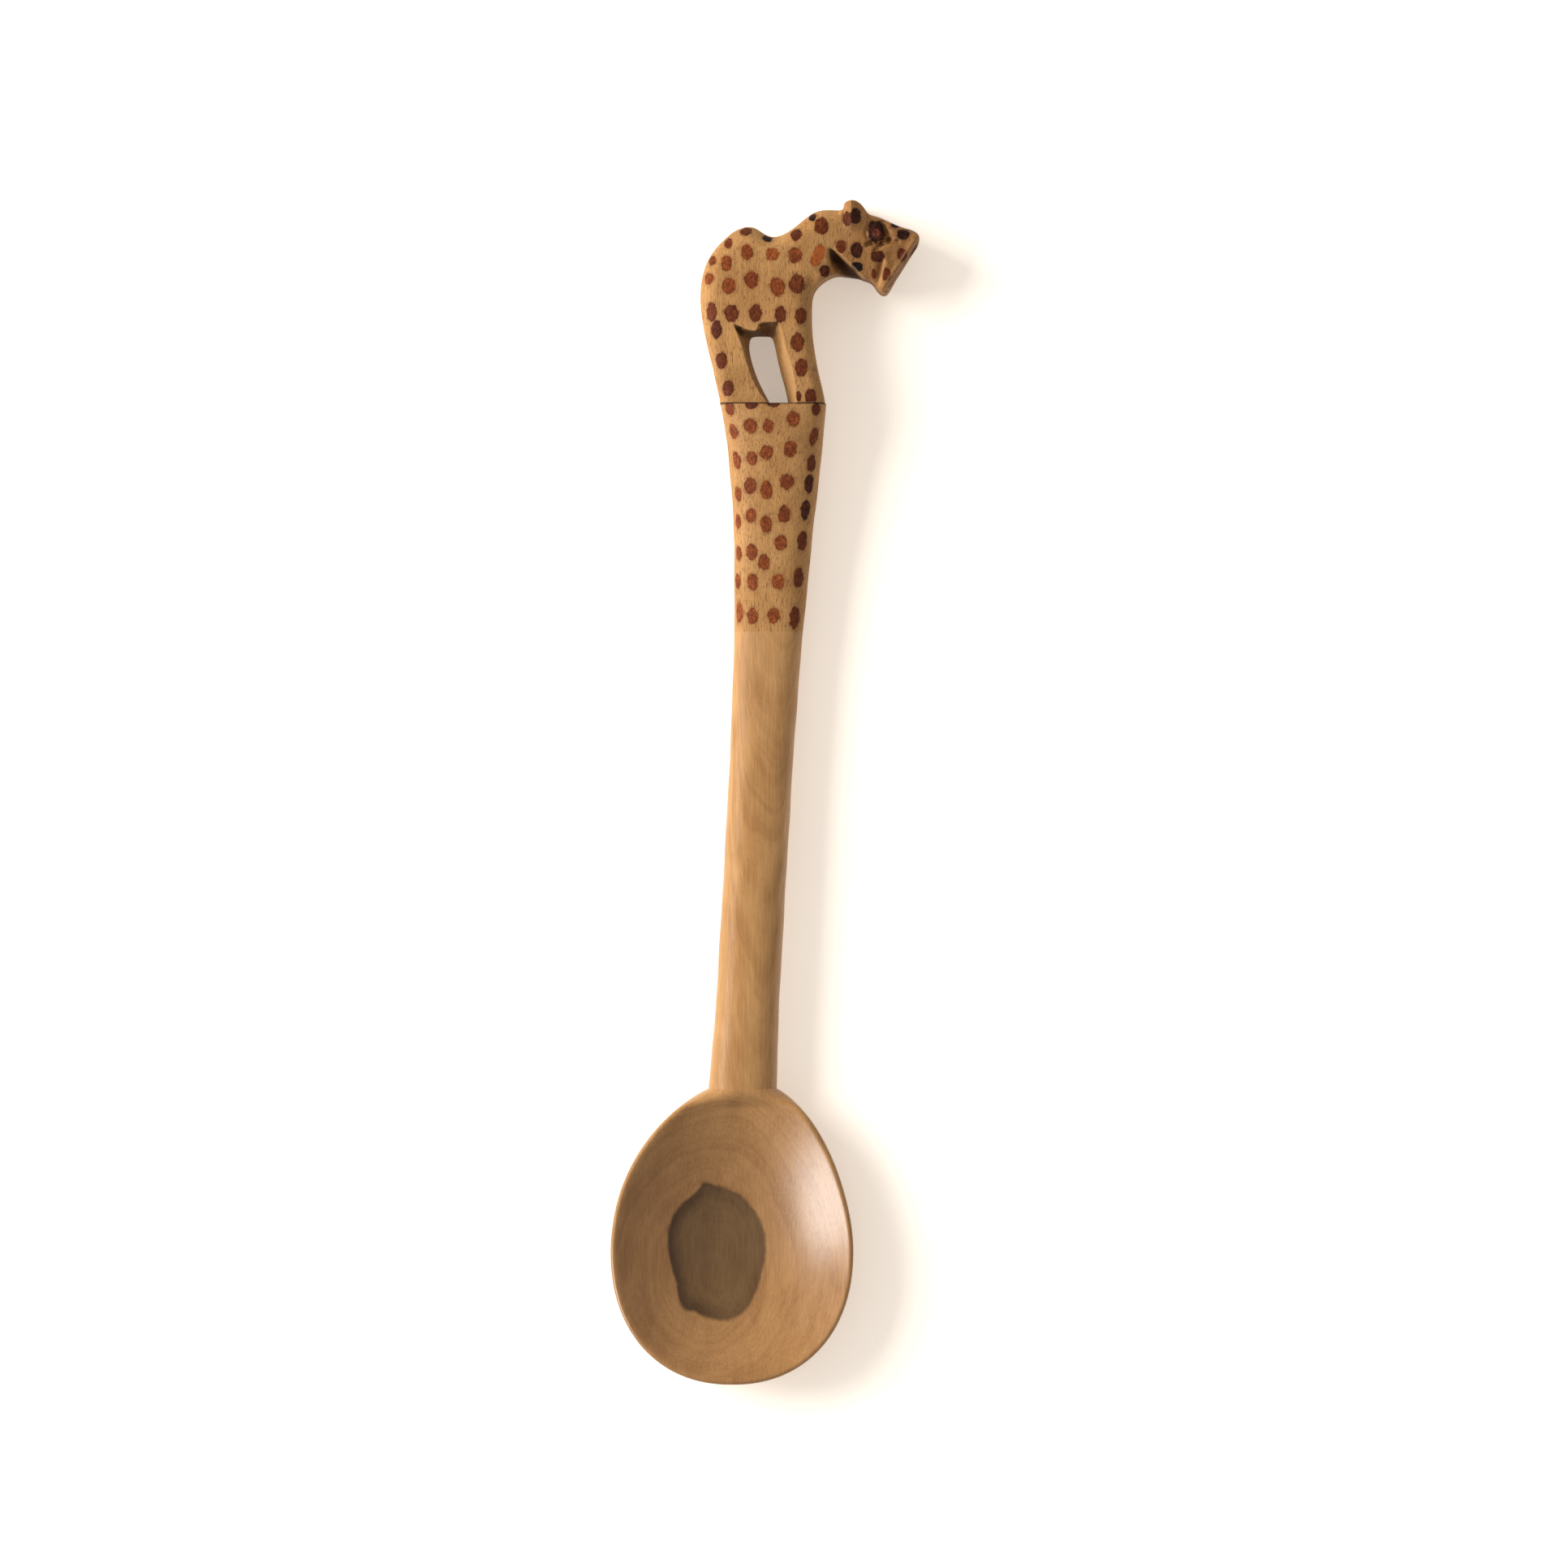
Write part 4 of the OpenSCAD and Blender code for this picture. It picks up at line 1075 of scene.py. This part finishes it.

# %% [markdown]
# ## Floor and light
# The spoon lies on a plain pale sheet. A low, wide window on its left lights it, a smaller light beside
# it gives the shine on the rubbed wood, and the white room fills the shadows, so they stay soft and
# warm. The sheet glows a little of its own: this glow is painted light that keeps its shadows pale.

# %% Floor and light
mesh = bpy.data.meshes.new("floor")
mesh.from_pydata([(-9, -9, 0), (9, -9, 0), (9, 9, 0), (-9, 9, 0)], [], [(0, 1, 2, 3)])
floor = bpy.data.objects.new("floor", mesh)
bpy.context.scene.collection.objects.link(floor)
paper, n = new_material("pale sheet")
# The sheet's emission is painted light: a glow of its own that lifts its shadows.
sheet_with_painted_glow = n.add("ShaderNodeBsdfPrincipled", {
    "Base Color": (0.93, 0.89, 0.83, 1), "Roughness": 0.9, "Specular IOR Level": 0.0,
    "Emission Color": (1.0, 0.87, 0.73, 1), "Emission Strength": 0.40})
n.feed(n.add("ShaderNodeOutputMaterial").inputs["Surface"], sheet_with_painted_glow.outputs[0])
floor.data.materials.append(paper)


def panel(name, place, aim, size, power, colour):
    """Rectangular soft light at a place, facing the aim."""
    data = bpy.data.lights.new(name, "AREA")
    data.shape, data.size, data.size_y = "RECTANGLE", *size
    data.energy, data.color = power, colour
    lamp = bpy.data.objects.new(name, data)
    lamp.location = place
    lamp.rotation_euler = (Vector(place) - Vector(aim)).to_track_quat("Z", "Y").to_euler()
    bpy.context.scene.collection.objects.link(lamp)
    return lamp


middle = Vector((CENTRE[0], CENTRE[1], 0.0))
window = panel("window", middle + Vector((-1.05, 0.34, 0.62)), middle, (0.8, 0.9), 28.0, (1.0, 0.985, 0.95))
window.visible_glossy = False
strip = panel("strip", middle + Vector((-1.05, -0.46, 0.60)), middle, (0.5, 0.66), 29.0, (1.0, 0.985, 0.97))
strip.visible_diffuse = False

world = bpy.data.worlds.new("white room")
world.use_nodes = True
room = Nodes(world.node_tree)
seen = room.add("ShaderNodeLightPath").outputs["Is Camera Ray"]
background = world.node_tree.nodes["Background"].inputs
room.feed(background["Color"], (1.0, 0.985, 0.965, 1))
room.feed(background["Strength"], room.math("MULTIPLY_ADD", seen, 0.42, 0.54))
bpy.context.scene.world = world
bpy.context.scene.view_settings.view_transform = "Standard"
